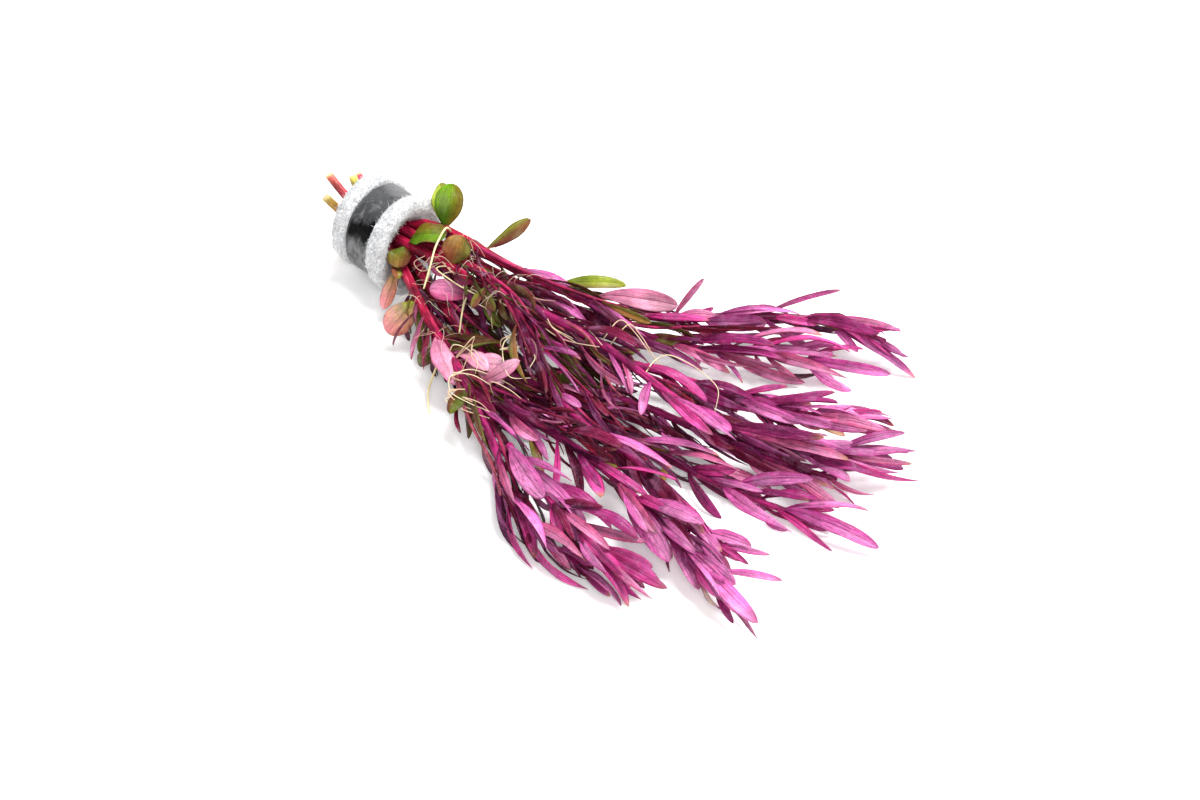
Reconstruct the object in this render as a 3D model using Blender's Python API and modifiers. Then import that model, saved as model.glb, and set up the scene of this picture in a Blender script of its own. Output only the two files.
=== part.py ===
"""A bunch of cut rotala, an aquarium stem plant, lying on a table.

Nine cuttings run along +X from their cut ends to their leafy crowns. A foam roll holds
them near the cut ends, and a soft lead strip is wrapped round the foam. The origin is on
the table, under the end of the foam that faces the crowns. Lengths here are millimetres
and become metres when a mesh is made.
"""

import math
import random

import bmesh
import bpy
import numpy as np
from mathutils import Matrix, Vector, noise
from mathutils.bvhtree import BVHTree

MM = 0.001

# The holder
AXIS_Z = 12.2
FOAM_FLARE_RADIUS = 13.0
FOAM_WAIST_RADIUS = 10.35
FOAM_FROM_X = -17.5
FOAM_TO_X = 3.5
BORE_RADIUS = 6.2
BORE_MOUTH_RADIUS = 10.4
BORE_MOUTH_FROM_X = -4.0
# How far the cut end of the roll lies aside of the other end and above it, and how much the
# end that faces the crowns leans back per millimetre of height.
ROLL_ASIDE = 1.6
ROLL_RISE = 0.9
END_SLANT = 0.12
STRIP_FROM_X = -12.5
STRIP_TO_X = -4.0
STRIP_RADIUS = 11.1
STRIP_THICKNESS = 0.8
STRIP_SEAM_DEG = 212
STRIP_LAP_DEG = 28

# The plants
STEM_RADIUS = 1.35
STEM_TIP_RADIUS = 0.7
STEM_SPACING = 9.5
RING_RADIUS = 4.3
LEAF_THICKNESS = 0.5
ROOT_RADIUS = 0.32
CLEARANCE = 0.4
TABLE_GAP = 0.3
LARGE_LEAF_WIDTH = 4.4
OUTER_FROM = 4.0

# Each cutting: its place round the bore in degrees, where its cut end is, and the points
# that its stem passes on the way to its growing tip.
CENTRE = None
CUTTINGS = {
    "a": (45, (-24.7, 7.3, 18), [
        (6, 5, 21), (31, 8, 16), (52, 16, 12), (67, 23, 10), (79, 36, 10), (92, 48, 10),
        (103, 55, 8), (112, 58, 6),
    ]),
    "b": (135, (-27.5, -0.5, 22), [
        (13, -3, 18), (41, -2, 18), (65, 2, 16), (95, -1, 14), (115, 5, 11), (133, 17, 8),
    ]),
    "c": (180, (-23.7, -6, 20), [
        (6, -7, 13), (17, -14, 12), (46, -27, 9), (65, -37, 6), (83, -50, 4), (107, -51, 3),
    ]),
    "d": (90, (-22.3, 3.7, 19.4), [
        (15, 0, 17), (41, -4, 20), (59, -14, 14), (76, -19, 9), (97, -19, 9), (114, -27, 7),
        (130, -27, 6),
    ]),
    "e": (CENTRE, (-19.5, 1.7, 13), [
        (8, -4, 12), (21, -9, 9), (53, -17, 8), (77, -3, 8), (110, 2, 7), (133, 11, 5),
    ]),
    "f": (270, (-19, 1.7, 9), [
        (6, -4, 8), (19, -13, 5), (51, -21, 4), (77, -12, 5), (112, -8, 3), (133, -3, 3),
    ]),
    "g": (225, (-20, -1.6, 10), [
        (6, -6, 10), (19, -14, 9), (48, -25, 7), (70, -25, 9), (94, -27, 9), (136, -36, 6),
    ]),
    "h": (0, (-21.1, 9.3, 20), [
        (7, 4, 15), (31, 8, 12), (53, 16, 7), (77, 23, 6), (92, 34, 7), (110, 44, 5),
    ]),
    "i": (315, (-19, 5, 10), [
        (8, 1, 11), (29, 0, 11), (59, 4, 8), (83, 13, 7), (102, 14, 9), (117, 20, 10),
        (125, 27, 9),
    ]),
}
# A side shoot: the cutting that it grows from, and the points that it passes.
SHOOTS = {
    "j": ("c", [(67, -35, 8), (73, -38, 9), (88, -43, 8), (98, -45, 7), (112, -48, 5)]),
}

# The leaves that show one by one. Each: its stem, the x of its base, its tip, its width,
# its form and its tone.
LEAVES = [
    ("a", 8, (6, 11, 30), 7.5, "round", "green"),
    ("a", 8, (1, 12, 28), 6.0, "round", "lime"),
    ("c", 3, (8, -11, 17), 3.0, "round", "umber"),
    ("b", 3, (13, 2, 21), 8.0, "round", "green"),
    ("b", 3, (6, -10, 15), 6.5, "round", "olive"),
    ("f", 6, (8, -6, 9), 3.0, "spoon", "moss"),
    ("f", 10, (14, -9, 5), 2.5, "lance", "lime"),
    ("a", 20, (26, 19, 24), 4.0, "spoon", "umber"),
    ("a", 31, (46, 13, 15), 3.0, "lance", "orchid"),
    ("a", 41, (55, 23, 16), 3.5, "lance", "lime"),
    ("a", 50, (68, 28, 13), 5.5, "spoon", "blush"),
    ("a", 69, (68, 36, 18), 2.0, "lance", "dusk"),
    ("a", 69, (78, 26, 6), 2.0, "lance", "wine"),
    ("a", 69, (77, 33, 11), 3.0, "lance", "dusk"),
    ("a", 70, (75, 34, 12), 2.0, "lance", "magenta"),
    ("a", 72, (80, 31, 7), 2.5, "lance", "wine"),
    ("a", 74, (86, 42, 10), 5.5, "lance", "mauve"),
    ("a", 76, (91, 49, 11), 2.5, "lance", "orchid"),
    ("a", 87, (97, 49, 9), 2.5, "lance", "magenta"),
    ("a", 87, (95, 47, 7), 2.0, "lance", "wine"),
    ("a", 91, (101, 54, 9), 2.5, "lance", "dusk"),
    ("a", 93, (103, 53, 8), 2.0, "lance", "russet"),
    ("a", 99, (123, 57, 1), 3.0, "lance", "mauve"),
    ("a", 99, (111, 55, 5), 3.0, "lance", "magenta"),
    ("a", 99, (108, 52, 4), 2.5, "lance", "mauve"),
    ("a", 105, (118, 59, 4), 2.0, "lance", "orchid"),
    ("a", 105, (117, 57, 3), 2.0, "lance", "magenta"),
    ("a", 108, (111, 61, 9), 2.0, "lance", "blush"),
    ("b", 26, (34, 2, 13), 2.5, "lance", "blush"),
    ("b", 17, (19, 3, 24), 7.5, "round", "russet"),
    ("b", 30, (38, 0, 18), 3.5, "spoon", "green"),
    ("b", 36, (40, -1, 19), 2.0, "lance", "moss"),
    ("b", 67, (81, -5, 12), 2.0, "lance", "orchid"),
    ("b", 73, (81, -5, 13), 2.0, "lance", "dusk"),
    ("b", 83, (89, -11, 15), 3.0, "lance", "orchid"),
    ("b", 95, (108, 1, 13), 4.5, "lance", "mauve"),
    ("b", 117, (126, 16, 12), 2.0, "lance", "dusk"),
    ("b", 119, (133, 19, 11), 3.5, "lance", "blush"),
    ("b", 121, (136, 13, 5), 4.0, "lance", "orchid"),
    ("b", 125, (141, 23, 9), 3.0, "lance", "mauve"),
    ("b", 129, (140, 29, 12), 3.0, "lance", "mauve"),
    ("b", 131, (143, 27, 9), 2.0, "lance", "orchid"),
    ("b", 131, (144, 24, 6), 3.5, "lance", "mauve"),
    ("b", 131, (145, 26, 7), 2.0, "lance", "dusk"),
    ("c", 3, (6, -16, 5), 3.7, "spoon", "rim"),
    ("c", 17, (14, -23, 6), 7.5, "round", "rim"),
    ("c", 19, (22, -17, 7), 4.0, "round", "moss"),
    ("c", 33, (26, -25, 4), 4.0, "round", "moss"),
    ("c", 46, (49, -37, 10), 4.0, "round", "moss"),
    ("c", 46, (57, -29, 9), 2.5, "lance", "wine"),
    ("c", 75, (87, -47, 5), 2.5, "lance", "wine"),
    ("c", 88, (91, -55, 4), 2.0, "spoon", "wine"),
    ("c", 90, (99, -52, 4), 2.0, "lance", "orchid"),
    ("c", 92, (103, -53, 3), 2.5, "lance", "dusk"),
    ("c", 97, (107, -49, 4), 2.0, "lance", "magenta"),
    ("c", 102, (111, -51, 3), 2.0, "lance", "wine"),
    ("c", 105, (118, -52, 2), 2.0, "lance", "blush"),
    ("i", 26, (16, -9, 13), 6.0, "spoon", "dusk"),
    ("d", 47, (55, -14, 16), 3.5, "lance", "wine"),
    ("d", 51, (66, -7, 17), 2.0, "lance", "plum"),
    ("d", 53, (66, -8, 19), 2.0, "lance", "mauve"),
    ("d", 66, (74, -16, 12), 2.5, "lance", "orchid"),
    ("d", 92, (103, -26, 7), 2.0, "lance", "dusk"),
    ("d", 99, (109, -27, 7), 2.5, "lance", "plum"),
    ("d", 108, (126, -26, 8), 3.5, "lance", "blush"),
    ("d", 115, (129, -28, 7), 3.0, "lance", "orchid"),
    ("d", 120, (134, -23, 8), 4.0, "spoon", "blush"),
    ("d", 122, (136, -27, 7), 2.0, "lance", "magenta"),
    ("d", 127, (139, -23, 9), 2.0, "lance", "blush"),
    ("e", 60, (66, -7, 11), 3.5, "spoon", "moss"),
    ("e", 64, (69, -13, 7), 2.5, "lance", "russet"),
    ("e", 66, (76, -8, 6), 3.0, "lance", "mauve"),
    ("e", 70, (79, -3, 8), 2.5, "lance", "mauve"),
    ("e", 87, (98, -8, 5), 4.0, "lance", "orchid"),
    ("e", 95, (105, 0, 7), 2.0, "lance", "orchid"),
    ("e", 95, (109, 2, 7), 2.0, "lance", "plum"),
    ("e", 105, (118, 3, 7), 2.0, "lance", "plum"),
    ("e", 110, (120, 2, 4), 3.5, "spoon", "dusk"),
    ("e", 120, (130, 7, 5), 2.5, "lance", "plum"),
    ("e", 122, (134, 9, 4), 3.0, "lance", "orchid"),
    ("e", 131, (144, 20, 7), 2.0, "lance", "dusk"),
    ("f", 87, (108, -4, 9), 3.5, "lance", "blush"),
    ("f", 90, (96, -9, 5), 2.0, "lance", "russet"),
    ("f", 97, (101, -17, 4), 2.0, "spoon", "russet"),
    ("f", 102, (113, -3, 6), 3.5, "lance", "magenta"),
    ("f", 110, (117, -5, 5), 2.5, "lance", "mauve"),
    ("f", 115, (131, 4, 9), 4.5, "lance", "mauve"),
    ("f", 117, (132, 3, 7), 2.0, "lance", "plum"),
    ("f", 126, (133, -4, 3), 2.0, "lance", "magenta"),
    ("f", 131, (139, 2, 7), 2.0, "lance", "magenta"),
    ("f", 131, (154, 1, 3), 5.5, "lance", "mauve"),
    ("f", 13, (24, -21, 5), 3.0, "round", "moss"),
    ("g", 28, (40, -12, 6), 4.0, "lance", "moss"),
    ("g", 32, (46, -20, 10), 5.0, "lance", "blush"),
    ("g", 36, (50, -20, 10), 4.0, "lance", "blush"),
    ("g", 46, (57, -20, 20), 2.5, "spoon", "blush"),
    ("g", 46, (57, -26, 8), 2.0, "lance", "mauve"),
    ("g", 53, (71, -23, 9), 4.0, "lance", "orchid"),
    ("g", 53, (64, -24, 8), 2.0, "lance", "mauve"),
    ("g", 63, (77, -32, 7), 2.0, "lance", "mauve"),
    ("g", 65, (79, -36, 6), 2.5, "lance", "umber"),
    ("g", 74, (89, -48, 6), 2.0, "lance", "magenta"),
    ("g", 77, (92, -33, 6), 2.5, "lance", "wine"),
    ("g", 81, (96, -34, 6), 2.0, "lance", "plum"),
    ("g", 83, (95, -33, 7), 4.5, "spoon", "magenta"),
    ("g", 88, (95, -26, 10), 2.0, "spoon", "umber"),
    ("g", 98, (113, -37, 6), 4.0, "spoon", "blush"),
    ("g", 98, (107, -32, 7), 2.5, "spoon", "magenta"),
    ("g", 98, (117, -38, 4), 3.5, "lance", "mauve"),
    ("g", 100, (121, -36, 5), 5.5, "lance", "blush"),
    ("g", 108, (127, -37, 5), 2.5, "lance", "plum"),
    ("g", 110, (127, -33, 8), 3.5, "lance", "orchid"),
    ("g", 115, (131, -39, 4), 3.5, "lance", "orchid"),
    ("g", 120, (142, -39, 5), 3.5, "lance", "orchid"),
    ("g", 123, (139, -35, 8), 4.0, "lance", "mauve"),
    ("g", 128, (149, -39, 5), 4.0, "lance", "orchid"),
    ("g", 133, (149, -30, 12), 2.0, "lance", "orchid"),
    ("h", 25, (34, 6, 6), 3.5, "spoon", "lime"),
    ("h", 46, (56, 14, 6), 3.5, "lance", "wine"),
    ("h", 56, (66, 17, 5), 2.0, "lance", "umber"),
    ("h", 65, (76, 24, 7), 3.0, "lance", "umber"),
    ("h", 68, (82, 21, 4), 2.5, "lance", "mauve"),
    ("h", 70, (88, 25, 4), 3.0, "lance", "dusk"),
    ("h", 77, (81, 21, 5), 2.0, "lance", "dusk"),
    ("h", 81, (93, 24, 4), 2.0, "lance", "mauve"),
    ("h", 86, (89, 31, 7), 2.0, "lance", "wine"),
    ("h", 88, (95, 39, 10), 2.5, "lance", "wine"),
    ("h", 90, (94, 30, 4), 2.0, "spoon", "dusk"),
    ("h", 92, (103, 35, 2), 2.0, "lance", "dusk"),
    ("h", 94, (100, 37, 6), 2.0, "lance", "dusk"),
    ("h", 96, (105, 46, 9), 3.0, "lance", "mauve"),
    ("h", 99, (108, 41, 5), 2.5, "lance", "plum"),
    ("h", 101, (106, 44, 8), 2.5, "lance", "orchid"),
    ("h", 101, (120, 50, 5), 3.5, "lance", "mauve"),
    ("i", 57, (63, 5, 8), 2.5, "spoon", "russet"),
    ("i", 62, (70, 11, 10), 2.0, "lance", "umber"),
    ("i", 76, (86, 10, 5), 2.0, "lance", "wine"),
    ("i", 81, (93, 13, 6), 2.5, "lance", "magenta"),
    ("i", 83, (89, 10, 6), 2.0, "lance", "wine"),
    ("i", 93, (101, 16, 10), 2.0, "lance", "mauve"),
    ("i", 98, (109, 21, 15), 2.0, "lance", "magenta"),
    ("i", 102, (112, 13, 7), 3.0, "lance", "magenta"),
    ("i", 102, (120, 26, 16), 2.5, "lance", "plum"),
    ("i", 105, (116, 22, 12), 3.0, "lance", "magenta"),
    ("i", 112, (121, 20, 8), 2.5, "lance", "dusk"),
    ("i", 114, (127, 22, 8), 3.0, "lance", "straw"),
    ("i", 117, (128, 29, 10), 4.0, "lance", "blush"),
    ("i", 117, (124, 28, 12), 2.0, "lance", "orchid"),
    ("i", 117, (126, 24, 8), 2.0, "lance", "plum"),
    ("i", 123, (130, 33, 10), 2.5, "lance", "magenta"),
    ("i", 123, (133, 33, 10), 2.0, "lance", "orchid"),
    ("j", 67, (86, -44, 8), 5.5, "spoon", "orchid"),
    ("j", 78, (88, -41, 9), 3.5, "spoon", "orchid"),
    ("j", 88, (101, -39, 12), 2.0, "lance", "wine"),
    ("j", 88, (97, -49, 6), 2.5, "lance", "magenta"),
    ("j", 93, (100, -48, 7), 2.0, "lance", "mauve"),
    ("j", 93, (110, -48, 6), 3.0, "lance", "orchid"),
    ("j", 95, (114, -39, 9), 2.5, "lance", "dusk"),
    ("j", 105, (121, -53, 3), 2.5, "lance", "magenta"),
    ("j", 105, (126, -45, 6), 3.5, "lance", "magenta"),
    ("j", 110, (122, -46, 6), 3.5, "lance", "magenta"),
    ("c", 27, (42, -28, 9.5), 4.3, "spoon", "blush"),
    ("g", 30, (44, -15, 5), 4.3, "spoon", "blush"),
    ("g", 38, (47, -14, 10), 4.0, "spoon", "blush"),
]

# Places where the table shows between the crowns, so no small leaf ends there.
OPEN_PLACES = [
    (117, -27), (125, -11), (132, -22), (138, -24), (144, -36), (107, -60), (76, -51), (116, -45),
    (106, 66), (120, 63), (100, 53), (82, 16), (115, 49), (140, 18), (89, 22), (127, -20),
    (122, 31), (90, -62), (104, 65), (117, 44), (137, -5), (113, -58), (121, -11), (139, -29),
    (115, 69), (99, 67), (84, -67),
]
OPEN_REACH = 5.0

# Water roots: the stem, the x where each starts, and the points that it passes.
ROOTS = [
    ("a", 10, [(12, 2, 22), (15, -5, 22), (17, -9, 20), (19, -14, 16)]),
    ("i", 20, [(25, -7, 17), (26, -10, 17), (27, -14, 15), (31, -20, 12)]),
    ("b", 17, [(18, -8, 22), (30, -7, 20), (40, -1, 18), (47, 3, 16), (58, 1, 13)]),
    ("c", 24, [(27, -17, 5), (31, -17, 2)]),
    ("d", 38, [(44, -7, 14), (50, -7, 9), (57, -11, 13)]),
    ("g", 40, [(44, -19, 4), (46, -23, 1)]),
    ("c", 33, [(35, -30, 4), (39, -34, 1)]),
    ("f", 44, [(48, -26, 1.5), (55, -25, 1)]),
    ("i", 66, [(72, 2, 3), (79, -1, 1)]),
]

# How the half width runs from base to tip: where it is widest, how it rises to there, and
# the two exponents of how it falls to the tip.
FORMS = {
    "lance": (0.56, 0.72, 2.6, 0.56),
    "dart": (0.42, 0.75, 1.5, 0.95),
    "spoon": (0.66, 1.1, 2.6, 0.52),
    "round": (0.52, 0.55, 2.2, 0.52),
}
CROWN_LENGTH = 40
CROWN_NODE_SPACING = 10.0
LOWER_NODE_SPACING = 17.0
BARE_TO_X = 38
# From the growing tip down: how far the leaves stand off their stem, and how long they are.
YOUNG_SWEEP_DEG = (5, 10, 13, 16, 18)
YOUNG_LENGTH = (12, 18, 22, 22, 19)
VIEW_SIDE = Vector((0.32, -0.38, 1.0))


def roll_centre(x):
    """The y and z of the roll's centre at each x."""
    share = np.clip((FOAM_TO_X - np.asarray(x, float)) / (FOAM_TO_X - FOAM_FROM_X), 0, 1.1)
    return np.stack([ROLL_ASIDE * share, AXIS_Z + ROLL_RISE * share], axis=-1)


def roll_point(x, radius, turn):
    """A point of the roll at one place of its section, turned round its centre."""
    y, z = radius * math.cos(turn), radius * math.sin(turn)
    share = min(max((x - STRIP_TO_X) / (FOAM_TO_X - STRIP_TO_X), 0.0), 1.1)
    x -= END_SLANT * (z + FOAM_FLARE_RADIUS) * share
    aside, height = roll_centre(x)
    return Vector((x, y + aside, z + height))


def foam_outline():
    """Half of the roll's section: x and radius, over its outside and back through its bore."""
    waist, flare = FOAM_WAIST_RADIUS, FOAM_FLARE_RADIUS
    return [
        (FOAM_TO_X - 1.0, BORE_MOUTH_RADIUS - 0.5),
        (FOAM_TO_X, BORE_MOUTH_RADIUS + 0.5),
        (FOAM_TO_X - 0.2, flare - 1.3),
        (FOAM_TO_X - 1.6, flare - 0.1),
        (STRIP_TO_X + 2.4, flare - 0.3),
        (STRIP_TO_X + 0.9, flare - 1.2),
        (STRIP_TO_X + 0.7, waist),
        (STRIP_FROM_X - 0.7, waist),
        (STRIP_FROM_X - 0.9, flare - 1.2),
        (STRIP_FROM_X - 2.2, flare - 0.4),
        (FOAM_FROM_X + 1.4, flare - 0.3),
        (FOAM_FROM_X, flare - 1.8),
        (FOAM_FROM_X, BORE_RADIUS + 1.8),
        (FOAM_FROM_X + 1.4, BORE_RADIUS + 0.3),
        (-8, BORE_RADIUS),
        (BORE_MOUTH_FROM_X, BORE_RADIUS + 0.1),
    ]


def grown_outline(outline, margin):
    """The outline moved outward by a margin."""
    points = np.array(outline, float)
    edge = np.roll(points, -1, axis=0) - points
    normal = np.stack([edge[:, 1], -edge[:, 0]], axis=1) / np.linalg.norm(edge, axis=1)[:, None]
    corner = normal + np.roll(normal, 1, axis=0)
    return points + corner / np.linalg.norm(corner, axis=1)[:, None] * margin


def turned_mesh(outline, sides):
    """Points and faces of the outline turned round the roll, for the tests of what would touch."""
    points = []
    for x, radius in outline:
        for k in range(sides):
            points.append(roll_point(x, radius, 2 * math.pi * k / sides))
    rows = len(outline)
    faces = []
    for i in range(rows):
        for k in range(sides):
            j, after = (i + 1) % rows, (k + 1) % sides
            faces.append((i * sides + k, i * sides + after, j * sides + after, j * sides + k))
    return points, faces


def smooth_line(points, step):
    """Points along a smooth curve through the given points, about a step apart."""
    ends = [points[0] * 2 - points[1]] + list(points) + [points[-1] * 2 - points[-2]]
    line = []
    for a, b, c, d in zip(ends, ends[1:], ends[2:], ends[3:]):
        count = max(2, round(np.linalg.norm(c - b) / step))
        for t in np.linspace(0, 1, count, endpoint=False):
            line.append(
                0.5 * (2 * b + (c - a) * t + (2 * a - 5 * b + 4 * c - d) * t**2 + (3 * b - a - 3 * c + d) * t**3)
            )
    line.append(points[-1])
    return np.array(line)


def stem_routes():
    """The centre line of each stem as if it were alone."""
    routes = {}
    for key, (place, cut_end, passed) in CUTTINGS.items():
        ring = np.zeros(2)
        if place is not CENTRE:
            turn = math.radians(place)
            ring = RING_RADIUS * np.array((math.cos(turn), math.sin(turn)))
        inside = [(x, *(roll_centre(x) + ring)) for x in (-14, -4)]
        routes[key] = smooth_line([np.array(p, float) for p in [cut_end, *inside, *passed]], 2.5)
    for key, (_, passed) in SHOOTS.items():
        routes[key] = smooth_line([np.array(p, float) for p in passed], 2.5)
    return routes


def stem_radii(line, start_radius=STEM_RADIUS):
    return start_radius + (STEM_TIP_RADIUS - start_radius) * np.linspace(0, 1, len(line)) ** 1.5


def settle(routes):
    """Moves the stems apart where they would touch, and keeps them in the foam and on the table."""
    keys = list(routes)
    counts = [len(routes[key]) for key in keys]
    owner = np.repeat(np.arange(len(keys)), counts)
    home = np.concatenate([routes[key] for key in keys])
    radius = np.concatenate([stem_radii(routes[key]) for key in keys])
    inner = np.ones(len(home), bool)
    inner[np.cumsum(counts) - 1] = False
    inner[np.cumsum([0] + counts[:-1])] = False
    points = home.copy()
    wanted = radius[:, None] + radius[None] + CLEARANCE + 0.25
    wanted[owner[:, None] == owner[None]] = 0
    for _ in range(220):
        apart = points[:, None] - points[None]
        distance = np.linalg.norm(apart, axis=2) + 1e-6
        push = np.clip(wanted - distance, 0, None) * 0.4
        move = (apart / distance[..., None] * push[..., None]).sum(axis=1)
        spread = move.copy()
        for side in (-2, -1, 1, 2):
            spread += np.roll(move, side, axis=0) * (np.roll(owner, side) == owner)[:, None] * 0.5
        points = points + spread * 0.6 + (home - points) * 0.01
        middle = (np.roll(points, 1, axis=0) + np.roll(points, -1, axis=0)) / 2
        points[inner] += (middle - points)[inner] * 0.15
        x = points[:, 0]
        off = points[:, 1:] - roll_centre(x)
        reach = np.linalg.norm(off, axis=1) + 1e-6
        opened = np.clip((x - BORE_MOUTH_FROM_X) / (FOAM_TO_X - BORE_MOUTH_FROM_X), 0, 1)
        limit = BORE_RADIUS + opened * (BORE_MOUTH_RADIUS - BORE_RADIUS) - radius - 0.8
        held = (x > FOAM_FROM_X - 2) & (x < FOAM_TO_X + 1) & (reach > limit)
        points[held, 1:] = roll_centre(x)[held] + off[held] * (limit / reach)[held, None]
        points[:, 2] = np.maximum(points[:, 2], radius + TABLE_GAP)
    parts = np.split(points, np.cumsum(counts)[:-1])
    return dict(zip(keys, parts))


def tube_mesh(line, radii, sides):
    """Points and faces of a closed tube, for the tests of what would touch."""
    points = []
    for i, centre in enumerate(line):
        ahead = Vector(line[min(i + 1, len(line) - 1)] - line[max(i - 1, 0)]).normalized()
        across = ahead.cross(Vector((0, 0, 1))).normalized()
        over = across.cross(ahead)
        for k in range(sides):
            turn = 2 * math.pi * k / sides
            points.append(Vector(centre) + (across * math.cos(turn) + over * math.sin(turn)) * radii[i])
    faces = []
    for i in range(len(line) - 1):
        for k in range(sides):
            after = (k + 1) % sides
            faces.append((i * sides + k, i * sides + after, (i + 1) * sides + after, (i + 1) * sides + k))
    faces.append(tuple(reversed(range(sides))))
    faces.append(tuple((len(line) - 1) * sides + k for k in range(sides)))
    return points, faces


def half_width(form, t):
    widest, rise, fall, blunt = FORMS[form]
    if t <= widest:
        return math.sin(math.pi / 2 * t / widest) ** rise
    return (1 - ((t - widest) / (1 - widest)) ** fall) ** blunt


def blade_points(leaf, stations, swell=1.0):
    """The blade's middle and its two edges at each station from base to tip."""
    base, tip = leaf["base"], leaf["tip"]
    chord = tip - base
    length = chord.length
    ahead = chord / length
    face = (leaf["facing"] - ahead * leaf["facing"].dot(ahead)).normalized()
    across = Matrix.Rotation(leaf["roll"], 3, ahead) @ ahead.cross(face)
    face = across.cross(ahead)
    rows = []
    for t in stations:
        width = max(leaf["width"] / 2 * half_width(leaf["form"], t) * swell, 0.3)
        bow = 4 * t * (1 - t) * leaf["arch"] * length
        middle = base + chord * t + face * bow
        raised = face * (width * leaf["fold"])
        row = [middle + across * width + raised, middle, middle - across * width + raised]
        for point in row:
            point.z = max(point.z, leaf["floor"])
        rows.append(row)
    return rows, face


def blade_mesh(leaf, stations, swell=1.0):
    """The open surface of a leaf: a point at each end, and its middle and edges at each station between."""
    rows, face = blade_points(leaf, (0, *stations, 1), swell)
    if leaf["plain"]:
        points = [rows[0][1], *(p for row in rows[1:-1] for p in (row[0], row[2])), rows[-1][1]]
        last = len(points) - 1
        faces = [(0, 2, 1), *((i, i + 1, i + 3, i + 2) for i in range(1, last - 3, 2)), (last - 2, last - 1, last)]
        return points, faces, face
    points = [rows[0][1]]
    for row in rows[1:-1]:
        points.extend(row)
    points.append(rows[-1][1])
    last = len(points) - 1
    faces = [(0, 2, 1), (0, 3, 2)]
    for i in range(1, last - 5, 3):
        faces.append((i, i + 1, i + 4, i + 3))
        faces.append((i + 1, i + 2, i + 5, i + 4))
    faces.append((last - 3, last - 2, last))
    faces.append((last - 2, last - 1, last))
    return points, faces, face


def keeled_blade(leaf, stations):
    """A small leaf as a closed solid: flat above, with a keel under its middle."""
    rows, face = blade_points(leaf, (0, *stations, 1), 1.06)
    points = [rows[0][1]]
    for edge, middle, other in rows[1:-1]:
        top = (edge + other) / 2
        low = (middle if (middle - top).dot(face) < 0 else top) - face * LEAF_THICKNESS * 0.8
        low.z = max(low.z, 0.02)
        points += [edge, other, low]
    points.append(rows[-1][1])
    last = len(points) - 1
    faces = [(0, 2, 1), (0, 1, 3), (0, 3, 2)]
    for i in range(1, last - 3, 3):
        j = i + 3
        faces += [(i, i + 1, j + 1, j), (i + 2, i, j, j + 2), (i + 1, i + 2, j + 2, j + 1)]
    faces += [(last - 3, last - 2, last), (last - 1, last - 3, last), (last - 2, last - 1, last)]
    return points, faces


def fat_blade(leaf, stations, margin):
    """A closed solid round the leaf that is a margin larger all round."""
    points, faces, face = blade_mesh(leaf, stations, 1.0 + margin / max(leaf["width"], 2))
    over = face * (LEAF_THICKNESS / 2 + margin)
    count = len(points)
    both = [p + over for p in points] + [p - over for p in points]
    columns = 2 if leaf["plain"] else 3
    rim = [0] + list(range(1, count - 1, columns)) + [count - 1] + list(range(count - 2, 1, -columns))
    closed = list(faces) + [tuple(count + k for k in reversed(f)) for f in faces]
    for a, b in zip(rim, rim[1:] + rim[:1]):
        closed.append((a, b, count + b, count + a))
    return both, closed


class Crowd:
    """Everything placed so far, for the tests of what would touch."""

    def __init__(self):
        self.lows = []
        self.highs = []
        self.trees = []
        self.groups = []

    def add(self, group, points, faces):
        array = np.array(points)
        self.lows.append(array.min(axis=0))
        self.highs.append(array.max(axis=0))
        self.trees.append(BVHTree.FromPolygons(points, faces))
        self.groups.append(group)

    def touches(self, group, whole):
        """True if the solid would touch another plant or another single leaf."""
        array = np.array(whole[0])
        near = np.all(np.array(self.lows) < array.max(axis=0), axis=1)
        near &= np.all(np.array(self.highs) > array.min(axis=0), axis=1)
        near = [k for k in np.flatnonzero(near) if self.groups[k] != group]
        if not near:
            return False
        tree = BVHTree.FromPolygons(*whole)
        return any(tree.overlap(self.trees[k]) for k in near)


def stations_of(leaf):
    return (0.16, 0.38, 0.62, 0.84) if leaf["own"] else (0.28, 0.68)


def heading(line, near):
    """Which way a stem grows at one of its points."""
    return Vector(line[min(near + 1, len(line) - 1)] - line[max(near - 1, 0)]).normalized()


def in_the_open(tip):
    """True if the tip lies where the table shows between the crowns."""
    return any(math.hypot(tip.x - x, tip.y - y) < OPEN_REACH for x, y in OPEN_PLACES)


def place_leaf(crowd, leaf, line, tries):
    """Puts the leaf at the first of the tried tips where it touches nothing. True if one was found."""
    start = Vector(line[leaf["at"]])
    along = heading(line, leaf["at"])
    wanted = leaf["tip"] - start
    for turn, rise, scale in tries:
        reach = Matrix.Rotation(math.radians(turn), 3, "Z") @ wanted * scale
        side = reach.cross(Vector((0, 0, 1)))
        if side.length > 1e-3:
            reach = Matrix.Rotation(math.radians(rise), 3, side) @ reach
        out = reach - along * reach.dot(along)
        if out.length < reach.length * 0.05:
            out = VIEW_SIDE - along * VIEW_SIDE.dot(along)
        leaf["base"] = start + out.normalized() * (leaf["stem_radius"] + 0.7 if leaf["own"] else 0.35)
        leaf["tip"] = start + reach
        leaf["tip"].z = max(leaf["tip"].z, leaf["floor"])
        if leaf["young"] and in_the_open(leaf["tip"]):
            continue
        group = leaf["own"] or "stem_" + leaf["stem"]
        free = not crowd.touches(group, fat_blade(leaf, stations_of(leaf), CLEARANCE))
        if free and leaf["young"]:
            outer = dict(leaf, base=leaf["base"] + reach.normalized() * min(OUTER_FROM, reach.length / 2))
            free = not crowd.touches(None, fat_blade(outer, stations_of(leaf), 0.1))
        if free:
            crowd.add(group, *fat_blade(leaf, stations_of(leaf), 0.0))
            return True
    return False


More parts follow.
